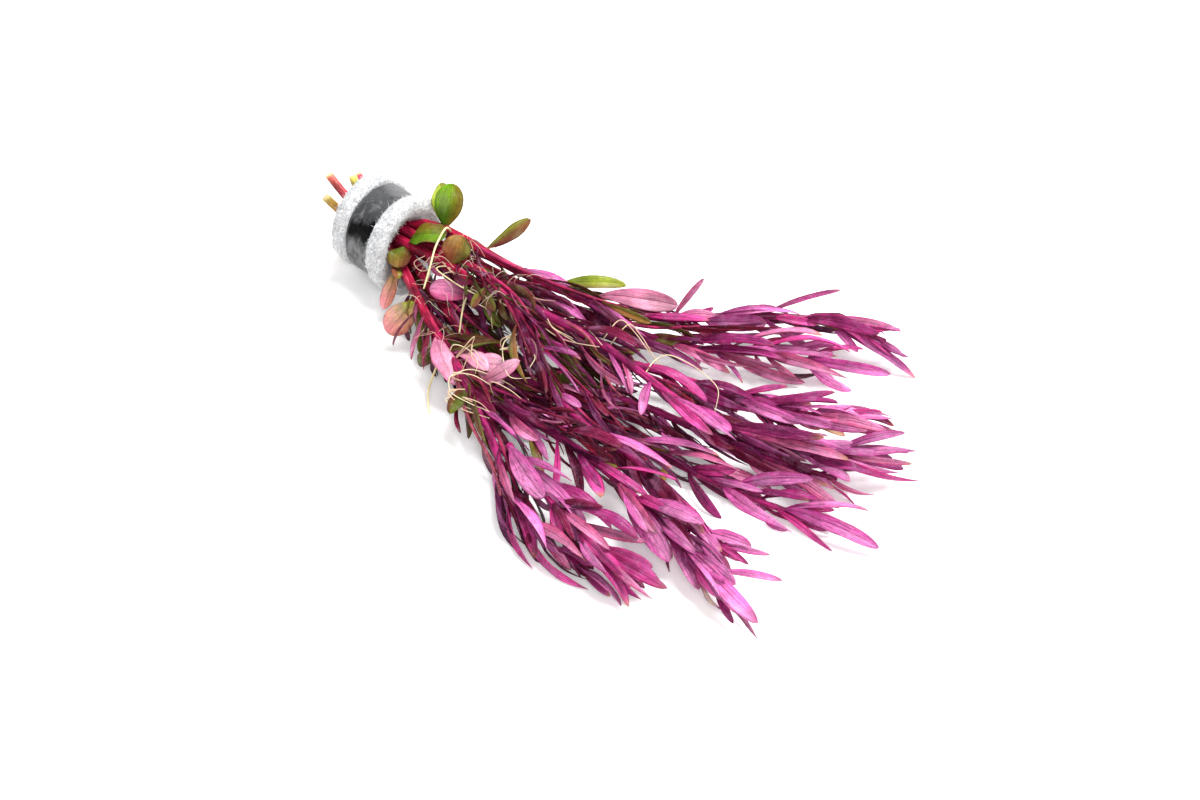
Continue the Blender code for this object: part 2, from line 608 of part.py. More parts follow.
def place_root(crowd, stem, line, x, passed):
    """The root's line, moved aside where it would touch another plant. None if it always would."""
    start = line[int(np.argmin(np.abs(line[:, 0] - x)))]
    moves = [(y, z) for y in (0, 2, -2, 4, -4, 6) for z in (0, 2, -2, 4, 6)]
    for y, z in sorted(moves, key=lambda v: abs(v[0]) + abs(v[1])):
        points = [start] + [np.array(p) + (0, y, z) for p in passed]
        root = smooth_line(points, 4)
        root[:, 2] = np.maximum(root[:, 2], ROOT_RADIUS + TABLE_GAP)
        if not crowd.touches("stem_" + stem, tube_mesh(root, [ROOT_RADIUS + CLEARANCE] * len(root), 5)):
            crowd.add("stem_" + stem, *tube_mesh(root, [ROOT_RADIUS] * len(root), 5))
            return root
    return None


def tries_around(turns, rises, scales):
    tries = [(turn, rise, scale) for scale in scales for turn in turns for rise in rises]
    return sorted(tries, key=lambda v: abs(v[0]) / 10 + abs(v[1]) / 8 + (1 - v[2]) * 16)


def new_leaf(stem, tip, width, form, tone, dice):
    return {
        "stem": stem,
        "tip": Vector(tip),
        "width": width,
        "form": form,
        "tone": tone,
        "arch": dice.uniform(0.02, 0.12),
        "fold": dice.uniform(0.05, 0.2) if form == "round" else dice.uniform(0.12, 0.5),
        "roll": math.radians(dice.uniform(-24, 24)),
        "facing": VIEW_SIDE.normalized(),
        "floor": TABLE_GAP + dice.uniform(0, 0.3),
        "own": None,
        "plain": True,
        "young": False,
    }


def thinned(line, radii, spacing):
    """Every so many points of the line, both ends kept."""
    steps = np.concatenate([[0], np.cumsum(np.linalg.norm(np.diff(line, axis=0), axis=1))])
    count = max(3, round(steps[-1] / spacing) + 1)
    at = np.linspace(0, steps[-1], count)
    picked = np.stack([np.interp(at, steps, line[:, k]) for k in range(3)], axis=1)
    return picked, np.interp(at, steps, radii)


def lay_out(crowd):
    """The settled stems, and every leaf and root in its place."""
    lines = settle(stem_routes())
    radii = {key: stem_radii(line, 1.0 if key in SHOOTS else STEM_RADIUS) for key, line in lines.items()}
    for key, line in lines.items():
        crowd.add("stem_" + key, *tube_mesh(*thinned(line, radii[key], STEM_SPACING), 6))
    crowd.add("foam_roll", *turned_mesh(grown_outline(foam_outline(), 0.45), 24))
    dice = random.Random(7)
    shown = []
    for stem, x, tip, width, form, tone in LEAVES:
        leaf = new_leaf(stem, tip, width, form, tone, dice)
        near = min(int(np.argmin(np.abs(lines[stem][:, 0] - x))), len(lines[stem]) - 3)
        leaf["at"] = near
        if width >= LARGE_LEAF_WIDTH:
            leaf["own"] = f"large leaf {len(shown)}"
            leaf["plain"] = False
        leaf["stem_radius"] = radii[stem][near]
        shown.append(leaf)
    large = [leaf for leaf in shown if leaf["own"]]
    tries = tries_around((0, -4, 4, -8, 8, -13, 13), (0, 4, -4, 8, -8, 14, -14, 22, -22), (1, 0.9, 0.8))
    placed = []
    for leaf in large + [leaf for leaf in shown if not leaf["own"]]:
        if place_leaf(crowd, leaf, lines[leaf["stem"]], tries):
            placed.append(leaf)
    tries = tries_around((0, -8, 8, -16, 16), (0, 7, -7, 14, -14), (1, 0.85, 0.7))
    for key, line in lines.items():
        steps = np.linalg.norm(np.diff(line, axis=0), axis=1)
        along = np.concatenate([[0], np.cumsum(steps)])
        last = along[-1]
        crown = min(CROWN_LENGTH, last - 3)
        nodes = list(np.arange(last - 1.5, last - crown, -CROWN_NODE_SPACING))
        bare_to = along[int(np.argmin(np.abs(line[:, 0] - BARE_TO_X)))]
        lower = list(np.arange(last - crown - 6, max(bare_to, 3), -LOWER_NODE_SPACING))
        turn = dice.uniform(0, math.pi)
        for number, s in enumerate(nodes + lower):
            near = min(int(np.argmin(np.abs(along - s))), len(line) - 2)
            ahead = heading(line, near)
            across = ahead.cross(Vector((0, 0, 1))).normalized()
            rank = min(number, 4)
            for opposite in (0, math.pi) if number < len(nodes) else (0,):
                around = turn + opposite + dice.uniform(-0.3, 0.3)
                out = Matrix.Rotation(around, 3, ahead) @ across
                sweep = math.radians(YOUNG_SWEEP_DEG[rank] + dice.uniform(-4, 6))
                length = YOUNG_LENGTH[rank] * dice.uniform(0.85, 1.15)
                tip = Vector(line[near]) + (ahead * math.cos(sweep) + out * math.sin(sweep)) * length
                tone = dice.choice(("magenta", "orchid", "mauve", "plum", "wine", "dusk"))
                form = dice.choice(("lance", "dart"))
                leaf = new_leaf(key, tip, length * dice.uniform(0.14, 0.2), form, tone, dice)
                leaf["at"] = near
                leaf["stem_radius"] = radii[key][near]
                leaf["young"] = True
                leaf["facing"] = (out * 0.8 + ahead * 0.3 + VIEW_SIDE * 0.7).normalized()
                if place_leaf(crowd, leaf, line, tries):
                    placed.append(leaf)
            turn += math.pi / 2
    roots = [(stem, place_root(crowd, stem, lines[stem], x, passed)) for stem, x, passed in ROOTS]
    return lines, radii, placed, [root for root in roots if root[1] is not None]


def new_collection(name, hidden):
    made = bpy.data.collections.new(name)
    bpy.context.scene.collection.children.link(made)
    made.hide_render = hidden
    return made


def new_material(name, colour, roughness, metallic=0.0):
    made = bpy.data.materials.new(name)
    made.use_nodes = True
    shader = made.node_tree.nodes["Principled BSDF"]
    shader.inputs["Base Color"].default_value = (*colour, 1)
    shader.inputs["Roughness"].default_value = roughness
    shader.inputs["Metallic"].default_value = metallic
    made.diffuse_color = (*colour, 1)
    return made


def new_object(name, mesh, collection, material=None):
    made = bpy.data.objects.new(name, mesh)
    collection.objects.link(made)
    if material:
        mesh.materials.append(material)
    return made


def as_helper(obj):
    obj.hide_render = True
    obj.display_type = "WIRE"


def mesh_from(name, points, faces):
    mesh = bpy.data.meshes.new(name)
    mesh.from_pydata([tuple(c * MM for c in p) for p in points], [], faces)
    mesh.update()
    return mesh


def applied(obj, weld=0.01):
    """The object's evaluated mesh as a mesh of its own, with its loose caps welded on."""
    graph = bpy.context.evaluated_depsgraph_get()
    mesh = bpy.data.meshes.new_from_object(obj.evaluated_get(graph))
    shape = bmesh.new()
    shape.from_mesh(mesh)
    bmesh.ops.remove_doubles(shape, verts=shape.verts, dist=weld * MM)
    bmesh.ops.recalc_face_normals(shape, faces=shape.faces)
    shape.to_mesh(mesh)
    shape.free()
    return mesh


def tube(name, line, radii, resolution, collection):
    """A round tube along the line, as a mesh."""
    curve = bpy.data.curves.new(name + "_path", "CURVE")
    curve.dimensions = "3D"
    curve.bevel_depth = MM
    curve.bevel_resolution = resolution
    curve.use_fill_caps = True
    spline = curve.splines.new("POLY")
    spline.points.add(len(line) - 1)
    for point, centre, radius in zip(spline.points, line, radii):
        point.co = (*(float(c) * MM for c in centre), 1)
        point.radius = float(radius)
    guide = bpy.data.objects.new(name + "_path", curve)
    collection.objects.link(guide)
    mesh = applied(guide)
    mesh.name = name
    bpy.data.objects.remove(guide)
    return mesh


def leaf_mesh(name, leaf, collection):
    """A small leaf with a keel, or a large one with Solidify, its underside flat on the table."""
    if leaf["plain"]:
        return mesh_from(name, *keeled_blade(leaf, stations_of(leaf)))
    points, faces, _ = blade_mesh(leaf, stations_of(leaf), 1.06)
    blade = new_object(name + "_blade", mesh_from(name + "_blade", points, faces), collection)
    thick = blade.modifiers.new("Thickness", "SOLIDIFY")
    thick.thickness = LEAF_THICKNESS * MM
    thick.offset = 0
    thick.use_even_offset = False
    mesh = applied(blade)
    mesh.name = name
    for vertex in mesh.vertices:
        vertex.co.z = max(vertex.co.z, 0.0)
    bpy.data.objects.remove(blade)
    return mesh


def grown_together(stem, grown):
    """Joins the leaves and roots to their stem, and drops any sealed hollow left between them."""
    join = stem.modifiers.new("Leaves and roots", "BOOLEAN")
    join.operation = "UNION"
    join.operand_type = "COLLECTION"
    join.collection = grown
    join.solver = "EXACT"
    mesh = applied(stem, 0.0005)
    stem.modifiers.clear()
    stem.data = mesh
    shape = bmesh.new()
    shape.from_mesh(mesh)
    shape.faces.ensure_lookup_table()
    unseen = set(shape.faces)
    islands = []
    while unseen:
        island = [unseen.pop()]
        for face in island:
            for edge in face.edges:
                for other in edge.link_faces:
                    if other in unseen:
                        unseen.remove(other)
                        island.append(other)
        islands.append(island)
    islands.sort(key=len)
    inner = [face for island in islands[:-1] for face in island]
    bmesh.ops.delete(shape, geom=inner, context="FACES")
    shape.to_mesh(mesh)
    shape.free()
    mesh.shade_smooth()
    for helper in list(grown.objects):
        bpy.data.objects.remove(helper)
    bpy.data.collections.remove(grown)


def build_foam(parts, cutters):
    """A turned roll with a bore, its underside flat on the table and its skin uneven."""
    points = [(x, 0, r) for x, r in foam_outline()]
    edges = [(k, (k + 1) % len(points)) for k in range(len(points))]
    mesh = bpy.data.meshes.new("foam_profile")
    mesh.from_pydata([tuple(c * MM for c in p) for p in points], edges, [])
    turned = new_object("foam_profile", mesh, cutters)
    screw = turned.modifiers.new("Turn", "SCREW")
    screw.axis = "X"
    screw.steps = 22
    screw.render_steps = 22
    screw.use_merge_vertices = True
    screw.merge_threshold = 0.00001
    shape = applied(turned)
    shape.name = "foam_roll"
    bpy.data.objects.remove(turned)
    for vertex in shape.vertices:
        x, y, z = vertex.co / MM
        reach = math.hypot(y, z)
        if reach > FOAM_WAIST_RADIUS + 0.8:
            reach += noise.noise(Vector((x, y, z)) * 0.35) * 0.6
            x += noise.noise(Vector((x, y, z)) * 0.4 + Vector((9, 3, 1))) * 0.5 if x > 2 or x < -16 else 0
        vertex.co = roll_point(x, reach, math.atan2(z, y)) * MM
    foam = new_object("foam_roll", shape, parts, new_material("foam", (0.86, 0.88, 0.88), 0.9))
    table = bmesh.new()
    bmesh.ops.create_cube(table, size=1)
    table_mesh = bpy.data.meshes.new("table_cut")
    table.to_mesh(table_mesh)
    table.free()
    cutter = new_object("table_cut", table_mesh, cutters)
    cutter.scale = (60 * MM, 60 * MM, 10 * MM)
    cutter.location = (-7 * MM, 0, -5 * MM)
    as_helper(cutter)
    cut = foam.modifiers.new("Flat underside", "BOOLEAN")
    cut.operation = "DIFFERENCE"
    cut.object = cutter


def build_strip(parts):
    """A strip wound once round the foam, its outer end lapped over its inner end."""
    turns = 360 + STRIP_LAP_DEG
    steps = 28
    points = []
    for k in range(steps + 1):
        part = k / steps * turns
        lift = max(0.0, part - 360 + 34) / (STRIP_LAP_DEG + 34)
        lift = min(1.0, lift * 1.9)
        radius = STRIP_RADIUS + lift * lift * (3 - 2 * lift) * (STRIP_THICKNESS + 0.3)
        turn = math.radians(STRIP_SEAM_DEG + part)
        skew = 0.35 * math.sin(turn * 2)
        for x in (STRIP_FROM_X + skew, STRIP_TO_X + skew):
            aside, height = roll_centre(x)
            points.append((x, aside + radius * math.cos(turn), height + radius * math.sin(turn)))
    faces = [(2 * k, 2 * k + 1, 2 * k + 3, 2 * k + 2) for k in range(steps)]
    mesh = mesh_from("lead_strip", points, faces)
    strip = new_object("lead_strip", mesh, parts, new_material("lead", (0.12, 0.12, 0.12), 0.55, 1.0))
    thick = strip.modifiers.new("Thickness", "SOLIDIFY")
    thick.thickness = STRIP_THICKNESS * MM
    thick.offset = 0


TONES = {
    "green": (0.30, 0.42, 0.08),
    "lime": (0.55, 0.60, 0.22),
    "moss": (0.22, 0.27, 0.09),
    "olive": (0.30, 0.27, 0.10),
    "umber": (0.30, 0.22, 0.10),
    "russet": (0.27, 0.20, 0.11),
    "blush": (0.70, 0.42, 0.42),
    "rim": (0.66, 0.50, 0.34),
    "dusk": (0.52, 0.26, 0.33),
    "mauve": (0.42, 0.12, 0.26),
    "orchid": (0.66, 0.22, 0.44),
    "magenta": (0.58, 0.04, 0.22),
    "plum": (0.26, 0.02, 0.12),
    "wine": (0.14, 0.01, 0.04),
    "straw": (0.55, 0.40, 0.22),
}


def main():
    for old in list(bpy.data.objects):
        bpy.data.objects.remove(old)
    parts = new_collection("rotala", False)
    cutters = new_collection("helpers", True)
    build_foam(parts, cutters)
    build_strip(parts)
    lines, radii, leaves, roots = lay_out(Crowd())
    stem_material = new_material("stem", (0.42, 0.03, 0.08), 0.4)
    tones = {tone: new_material("leaf_" + tone, colour, 0.4) for tone, colour in TONES.items()}
    grown_on = {}
    for key, line in lines.items():
        name = ("shoot_" if key in SHOOTS else "stem_") + key
        picked, thickness = thinned(line, radii[key], STEM_SPACING)
        stem = new_object(name, tube(name, picked, thickness, 1, cutters), parts, stem_material)
        grown = bpy.data.collections.new(name + "_grown")
        cutters.children.link(grown)
        grown.hide_render = True
        for number, leaf in enumerate(v for v in leaves if v["stem"] == key and not v["own"]):
            piece = f"{name}_leaf_{number}"
            helper = new_object(piece, leaf_mesh(piece, leaf, cutters), grown, tones[leaf["tone"]])
            as_helper(helper)
        for number, (_, root) in enumerate(v for v in roots if v[0] == key):
            piece = f"{name}_root_{number}"
            mesh = tube(piece, root, [ROOT_RADIUS] * len(root), 0, cutters)
            as_helper(new_object(piece, mesh, grown, stem_material))
        grown_on[stem] = grown
    for number, leaf in enumerate((v for v in leaves if v["own"]), 1):
        name = f"leaf_{number}"
        new_object(name, leaf_mesh(name, leaf, cutters), parts, tones[leaf["tone"]])
    for stem, grown in grown_on.items():
        grown_together(stem, grown)


main()
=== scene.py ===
"""The looks of a rotala bunch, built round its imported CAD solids.

Every CAD node is replaced by a finer piece that lies where the node lies: blades with
midribs and veins, stems with swollen nodes and cut ends, water roots, a fibrous foam roll
and a dull lead strip. The stems and leaves are laid out by the same rules as the solids.
Lengths are millimetres until a mesh is made.
"""

import math
import random

import bpy
import numpy as np
from mathutils import Matrix, Vector, noise
from mathutils.bvhtree import BVHTree


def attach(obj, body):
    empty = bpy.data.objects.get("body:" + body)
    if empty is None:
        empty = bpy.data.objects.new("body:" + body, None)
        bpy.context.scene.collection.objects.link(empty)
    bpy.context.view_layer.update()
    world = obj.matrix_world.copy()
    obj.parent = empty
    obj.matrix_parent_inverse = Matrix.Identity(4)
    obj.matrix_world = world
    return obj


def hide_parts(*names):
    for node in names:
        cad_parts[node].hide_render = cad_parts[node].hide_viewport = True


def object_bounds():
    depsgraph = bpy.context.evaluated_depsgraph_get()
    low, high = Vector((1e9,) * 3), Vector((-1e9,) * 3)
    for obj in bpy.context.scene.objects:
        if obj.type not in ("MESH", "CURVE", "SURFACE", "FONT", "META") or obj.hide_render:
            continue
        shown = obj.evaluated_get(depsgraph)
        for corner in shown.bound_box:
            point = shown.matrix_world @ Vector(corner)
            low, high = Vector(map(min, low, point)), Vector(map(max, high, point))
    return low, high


MM = 0.001

# The holder
AXIS_Z = 12.2
FOAM_FLARE_RADIUS = 13.0
FOAM_WAIST_RADIUS = 10.35
FOAM_FROM_X = -17.5
FOAM_TO_X = 3.5
BORE_RADIUS = 6.2
BORE_MOUTH_RADIUS = 10.4
BORE_MOUTH_FROM_X = -4.0
# How far the cut end of the roll lies aside of the other end and above it, and how much the
# end that faces the crowns leans back per millimetre of height.
ROLL_ASIDE = 1.6
ROLL_RISE = 0.9
END_SLANT = 0.12
STRIP_FROM_X = -12.5
STRIP_TO_X = -4.0
STRIP_RADIUS = 11.1
STRIP_THICKNESS = 0.8
STRIP_SEAM_DEG = 212
STRIP_LAP_DEG = 28

# The plants
STEM_RADIUS = 1.35
SHOOT_RADIUS = 1.0
STEM_TIP_RADIUS = 0.7
STEM_SPACING = 9.5
RING_RADIUS = 4.3
LEAF_THICKNESS = 0.5
ROOT_RADIUS = 0.32
CLEARANCE = 0.4
TABLE_GAP = 0.3
LARGE_LEAF_WIDTH = 4.4
# A young leaf may touch its own plant up to here from its base.
OUTER_FROM = 4.0
# How far a large leaf starts off its stem's skin, and any other from its stem's centre line.
LARGE_STAND_OFF = 0.7
STAND_OFF = 0.35

# Each cutting: its place round the bore in degrees, where its cut end is, and the points
# that its stem passes on the way to its growing tip.
CENTRE = None
CUTTINGS = {
    "a": (45, (-24.7, 7.3, 18), [
        (6, 5, 21), (31, 8, 16), (52, 16, 12), (67, 23, 10), (79, 36, 10), (92, 48, 10),
        (103, 55, 8), (112, 58, 6),
    ]),
    "b": (135, (-27.5, -0.5, 22), [
        (13, -3, 18), (41, -2, 18), (65, 2, 16), (95, -1, 14), (115, 5, 11), (133, 17, 8),
    ]),
    "c": (180, (-23.7, -6, 20), [
        (6, -7, 13), (17, -14, 12), (46, -27, 9), (65, -37, 6), (83, -50, 4), (107, -51, 3),
    ]),
    "d": (90, (-22.3, 3.7, 19.4), [
        (15, 0, 17), (41, -4, 20), (59, -14, 14), (76, -19, 9), (97, -19, 9), (114, -27, 7),
        (130, -27, 6),
    ]),
    "e": (CENTRE, (-19.5, 1.7, 13), [
        (8, -4, 12), (21, -9, 9), (53, -17, 8), (77, -3, 8), (110, 2, 7), (133, 11, 5),
    ]),
    "f": (270, (-19, 1.7, 9), [
        (6, -4, 8), (19, -13, 5), (51, -21, 4), (77, -12, 5), (112, -8, 3), (133, -3, 3),
    ]),
    "g": (225, (-20, -1.6, 10), [
        (6, -6, 10), (19, -14, 9), (48, -25, 7), (70, -25, 9), (94, -27, 9), (136, -36, 6),
    ]),
    "h": (0, (-21.1, 9.3, 20), [
        (7, 4, 15), (31, 8, 12), (53, 16, 7), (77, 23, 6), (92, 34, 7), (110, 44, 5),
    ]),
    "i": (315, (-19, 5, 10), [
        (8, 1, 11), (29, 0, 11), (59, 4, 8), (83, 13, 7), (102, 14, 9), (117, 20, 10),
        (125, 27, 9),
    ]),
}
# A side shoot: the cutting that it grows from, and the points that it passes.
SHOOTS = {
    "j": ("c", [(67, -35, 8), (73, -38, 9), (88, -43, 8), (98, -45, 7), (112, -48, 5)]),
}

# The leaves that show one by one, in the order in which they grow here: their stem, and for each
# the x of its base, its tip, its width, its tone and its form. It is a lance where none is given.
LEAVES = [
    ("a", [
        (8, (6, 11, 30), 7.5, "green", "round"), (8, (1, 12, 28), 6, "lime", "round"),
    ]),
    ("c", [
        (3, (8, -11, 17), 3, "umber", "round"),
    ]),
    ("b", [
        (3, (13, 2, 21), 8, "green", "round"), (3, (6, -10, 15), 6.5, "olive", "round"),
    ]),
    ("f", [
        (6, (8, -6, 9), 3, "moss", "spoon"), (10, (14, -9, 5), 2.5, "lime"),
    ]),
    ("a", [
        (20, (26, 19, 24), 4, "umber", "spoon"), (31, (46, 13, 15), 3, "orchid"),
        (41, (55, 23, 16), 3.5, "lime"), (50, (68, 28, 13), 5.5, "blush", "spoon"),
        (69, (68, 36, 18), 2, "dusk"), (69, (78, 26, 6), 2, "wine"), (69, (77, 33, 11), 3, "dusk"),
        (70, (75, 34, 12), 2, "magenta"), (72, (80, 31, 7), 2.5, "wine"),
        (74, (86, 42, 10), 5.5, "mauve"), (76, (91, 49, 11), 2.5, "orchid"),
        (87, (97, 49, 9), 2.5, "magenta"), (87, (95, 47, 7), 2, "wine"),
        (91, (101, 54, 9), 2.5, "dusk"), (93, (103, 53, 8), 2, "russet"),
        (99, (123, 57, 1), 3, "mauve"), (99, (111, 55, 5), 3, "magenta"),
        (99, (108, 52, 4), 2.5, "mauve"), (105, (118, 59, 4), 2, "orchid"),
        (105, (117, 57, 3), 2, "magenta"), (108, (111, 61, 9), 2, "blush"),
    ]),
    ("b", [
        (26, (34, 2, 13), 2.5, "blush"), (17, (19, 3, 24), 7.5, "russet", "round"),
        (30, (38, 0, 18), 3.5, "green", "spoon"), (36, (40, -1, 19), 2, "moss"),
        (67, (81, -5, 12), 2, "orchid"), (73, (81, -5, 13), 2, "dusk"),
        (83, (89, -11, 15), 3, "orchid"), (95, (108, 1, 13), 4.5, "mauve"),
        (117, (126, 16, 12), 2, "dusk"), (119, (133, 19, 11), 3.5, "blush"),
        (121, (136, 13, 5), 4, "orchid"), (125, (141, 23, 9), 3, "mauve"),
        (129, (140, 29, 12), 3, "mauve"), (131, (143, 27, 9), 2, "orchid"),
        (131, (144, 24, 6), 3.5, "mauve"), (131, (145, 26, 7), 2, "dusk"),
    ]),
    ("c", [
        (3, (6, -16, 5), 3.7, "rim", "spoon"), (17, (14, -23, 6), 7.5, "rim", "round"),
        (19, (22, -17, 7), 4, "moss", "round"), (33, (26, -25, 4), 4, "moss", "round"),
        (46, (49, -37, 10), 4, "moss", "round"), (46, (57, -29, 9), 2.5, "wine"),
        (75, (87, -47, 5), 2.5, "wine"), (88, (91, -55, 4), 2, "wine", "spoon"),
        (90, (99, -52, 4), 2, "orchid"), (92, (103, -53, 3), 2.5, "dusk"),
        (97, (107, -49, 4), 2, "magenta"), (102, (111, -51, 3), 2, "wine"),
        (105, (118, -52, 2), 2, "blush"),
    ]),
    ("i", [
        (26, (16, -9, 13), 6, "dusk", "spoon"),
    ]),
    ("d", [
        (47, (55, -14, 16), 3.5, "wine"), (51, (66, -7, 17), 2, "plum"), (53, (66, -8, 19), 2, "mauve"),
        (66, (74, -16, 12), 2.5, "orchid"), (92, (103, -26, 7), 2, "dusk"),
        (99, (109, -27, 7), 2.5, "plum"), (108, (126, -26, 8), 3.5, "blush"),
        (115, (129, -28, 7), 3, "orchid"), (120, (134, -23, 8), 4, "blush", "spoon"),
        (122, (136, -27, 7), 2, "magenta"), (127, (139, -23, 9), 2, "blush"),
    ]),
    ("e", [
        (60, (66, -7, 11), 3.5, "moss", "spoon"), (64, (69, -13, 7), 2.5, "russet"),
        (66, (76, -8, 6), 3, "mauve"), (70, (79, -3, 8), 2.5, "mauve"), (87, (98, -8, 5), 4, "orchid"),
        (95, (105, 0, 7), 2, "orchid"), (95, (109, 2, 7), 2, "plum"), (105, (118, 3, 7), 2, "plum"),
        (110, (120, 2, 4), 3.5, "dusk", "spoon"), (120, (130, 7, 5), 2.5, "plum"),
        (122, (134, 9, 4), 3, "orchid"), (131, (144, 20, 7), 2, "dusk"),
    ]),
    ("f", [
        (87, (108, -4, 9), 3.5, "blush"), (90, (96, -9, 5), 2, "russet"),
        (97, (101, -17, 4), 2, "russet", "spoon"), (102, (113, -3, 6), 3.5, "magenta"),
        (110, (117, -5, 5), 2.5, "mauve"), (115, (131, 4, 9), 4.5, "mauve"),
        (117, (132, 3, 7), 2, "plum"), (126, (133, -4, 3), 2, "magenta"),
        (131, (139, 2, 7), 2, "magenta"), (131, (154, 1, 3), 5.5, "mauve"),
        (13, (24, -21, 5), 3, "moss", "round"),
    ]),
    ("g", [
        (28, (40, -12, 6), 4, "moss"), (32, (46, -20, 10), 5, "blush"), (36, (50, -20, 10), 4, "blush"),
        (46, (57, -20, 20), 2.5, "blush", "spoon"), (46, (57, -26, 8), 2, "mauve"),
        (53, (71, -23, 9), 4, "orchid"), (53, (64, -24, 8), 2, "mauve"), (63, (77, -32, 7), 2, "mauve"),
        (65, (79, -36, 6), 2.5, "umber"), (74, (89, -48, 6), 2, "magenta"),
        (77, (92, -33, 6), 2.5, "wine"), (81, (96, -34, 6), 2, "plum"),
        (83, (95, -33, 7), 4.5, "magenta", "spoon"), (88, (95, -26, 10), 2, "umber", "spoon"),
        (98, (113, -37, 6), 4, "blush", "spoon"), (98, (107, -32, 7), 2.5, "magenta", "spoon"),
        (98, (117, -38, 4), 3.5, "mauve"), (100, (121, -36, 5), 5.5, "blush"),
        (108, (127, -37, 5), 2.5, "plum"), (110, (127, -33, 8), 3.5, "orchid"),
        (115, (131, -39, 4), 3.5, "orchid"), (120, (142, -39, 5), 3.5, "orchid"),
        (123, (139, -35, 8), 4, "mauve"), (128, (149, -39, 5), 4, "orchid"),
        (133, (149, -30, 12), 2, "orchid"),
    ]),
    ("h", [
        (25, (34, 6, 6), 3.5, "lime", "spoon"), (46, (56, 14, 6), 3.5, "wine"),
        (56, (66, 17, 5), 2, "umber"), (65, (76, 24, 7), 3, "umber"), (68, (82, 21, 4), 2.5, "mauve"),
        (70, (88, 25, 4), 3, "dusk"), (77, (81, 21, 5), 2, "dusk"), (81, (93, 24, 4), 2, "mauve"),
        (86, (89, 31, 7), 2, "wine"), (88, (95, 39, 10), 2.5, "wine"),
        (90, (94, 30, 4), 2, "dusk", "spoon"), (92, (103, 35, 2), 2, "dusk"),
        (94, (100, 37, 6), 2, "dusk"), (96, (105, 46, 9), 3, "mauve"), (99, (108, 41, 5), 2.5, "plum"),
        (101, (106, 44, 8), 2.5, "orchid"), (101, (120, 50, 5), 3.5, "mauve"),
    ]),
    ("i", [
        (57, (63, 5, 8), 2.5, "russet", "spoon"), (62, (70, 11, 10), 2, "umber"),
        (76, (86, 10, 5), 2, "wine"), (81, (93, 13, 6), 2.5, "magenta"), (83, (89, 10, 6), 2, "wine"),
        (93, (101, 16, 10), 2, "mauve"), (98, (109, 21, 15), 2, "magenta"),
        (102, (112, 13, 7), 3, "magenta"), (102, (120, 26, 16), 2.5, "plum"),
        (105, (116, 22, 12), 3, "magenta"), (112, (121, 20, 8), 2.5, "dusk"),
        (114, (127, 22, 8), 3, "straw"), (117, (128, 29, 10), 4, "blush"),
        (117, (124, 28, 12), 2, "orchid"), (117, (126, 24, 8), 2, "plum"),
        (123, (130, 33, 10), 2.5, "magenta"), (123, (133, 33, 10), 2, "orchid"),
    ]),
    ("j", [
        (67, (86, -44, 8), 5.5, "orchid", "spoon"), (78, (88, -41, 9), 3.5, "orchid", "spoon"),
        (88, (101, -39, 12), 2, "wine"), (88, (97, -49, 6), 2.5, "magenta"),
        (93, (100, -48, 7), 2, "mauve"), (93, (110, -48, 6), 3, "orchid"),
        (95, (114, -39, 9), 2.5, "dusk"), (105, (121, -53, 3), 2.5, "magenta"),
        (105, (126, -45, 6), 3.5, "magenta"), (110, (122, -46, 6), 3.5, "magenta"),
    ]),
    ("c", [
        (27, (42, -28, 9.5), 4.3, "blush", "spoon"),
    ]),
    ("g", [
        (30, (44, -15, 5), 4.3, "blush", "spoon"), (38, (47, -14, 10), 4, "blush", "spoon"),
    ]),
]

# Places where the table shows between the crowns, so no small leaf ends there.
OPEN_PLACES = [
    (117, -27), (125, -11), (132, -22), (138, -24), (144, -36), (107, -60), (76, -51), (116, -45),
    (106, 66), (120, 63), (100, 53), (82, 16), (115, 49), (140, 18), (89, 22), (127, -20),
    (122, 31), (90, -62), (104, 65), (117, 44), (137, -5), (113, -58), (121, -11), (139, -29),
    (115, 69), (99, 67), (84, -67),
]
OPEN_REACH = 5.0

# Water roots: the stem, the x where each starts, and the points that it passes.
ROOTS = [
    ("a", 10, [(12, 2, 22), (15, -5, 22), (17, -9, 20), (19, -14, 16)]),
    ("i", 20, [(25, -7, 17), (26, -10, 17), (27, -14, 15), (31, -20, 12)]),
    ("b", 17, [(18, -8, 22), (30, -7, 20), (40, -1, 18), (47, 3, 16), (58, 1, 13)]),
    ("c", 24, [(27, -17, 5), (31, -17, 2)]),
    ("d", 38, [(44, -7, 14), (50, -7, 9), (57, -11, 13)]),
    ("g", 40, [(44, -19, 4), (46, -23, 1)]),
    ("c", 33, [(35, -30, 4), (39, -34, 1)]),
    ("f", 44, [(48, -26, 1.5), (55, -25, 1)]),
    ("i", 66, [(72, 2, 3), (79, -1, 1)]),
]

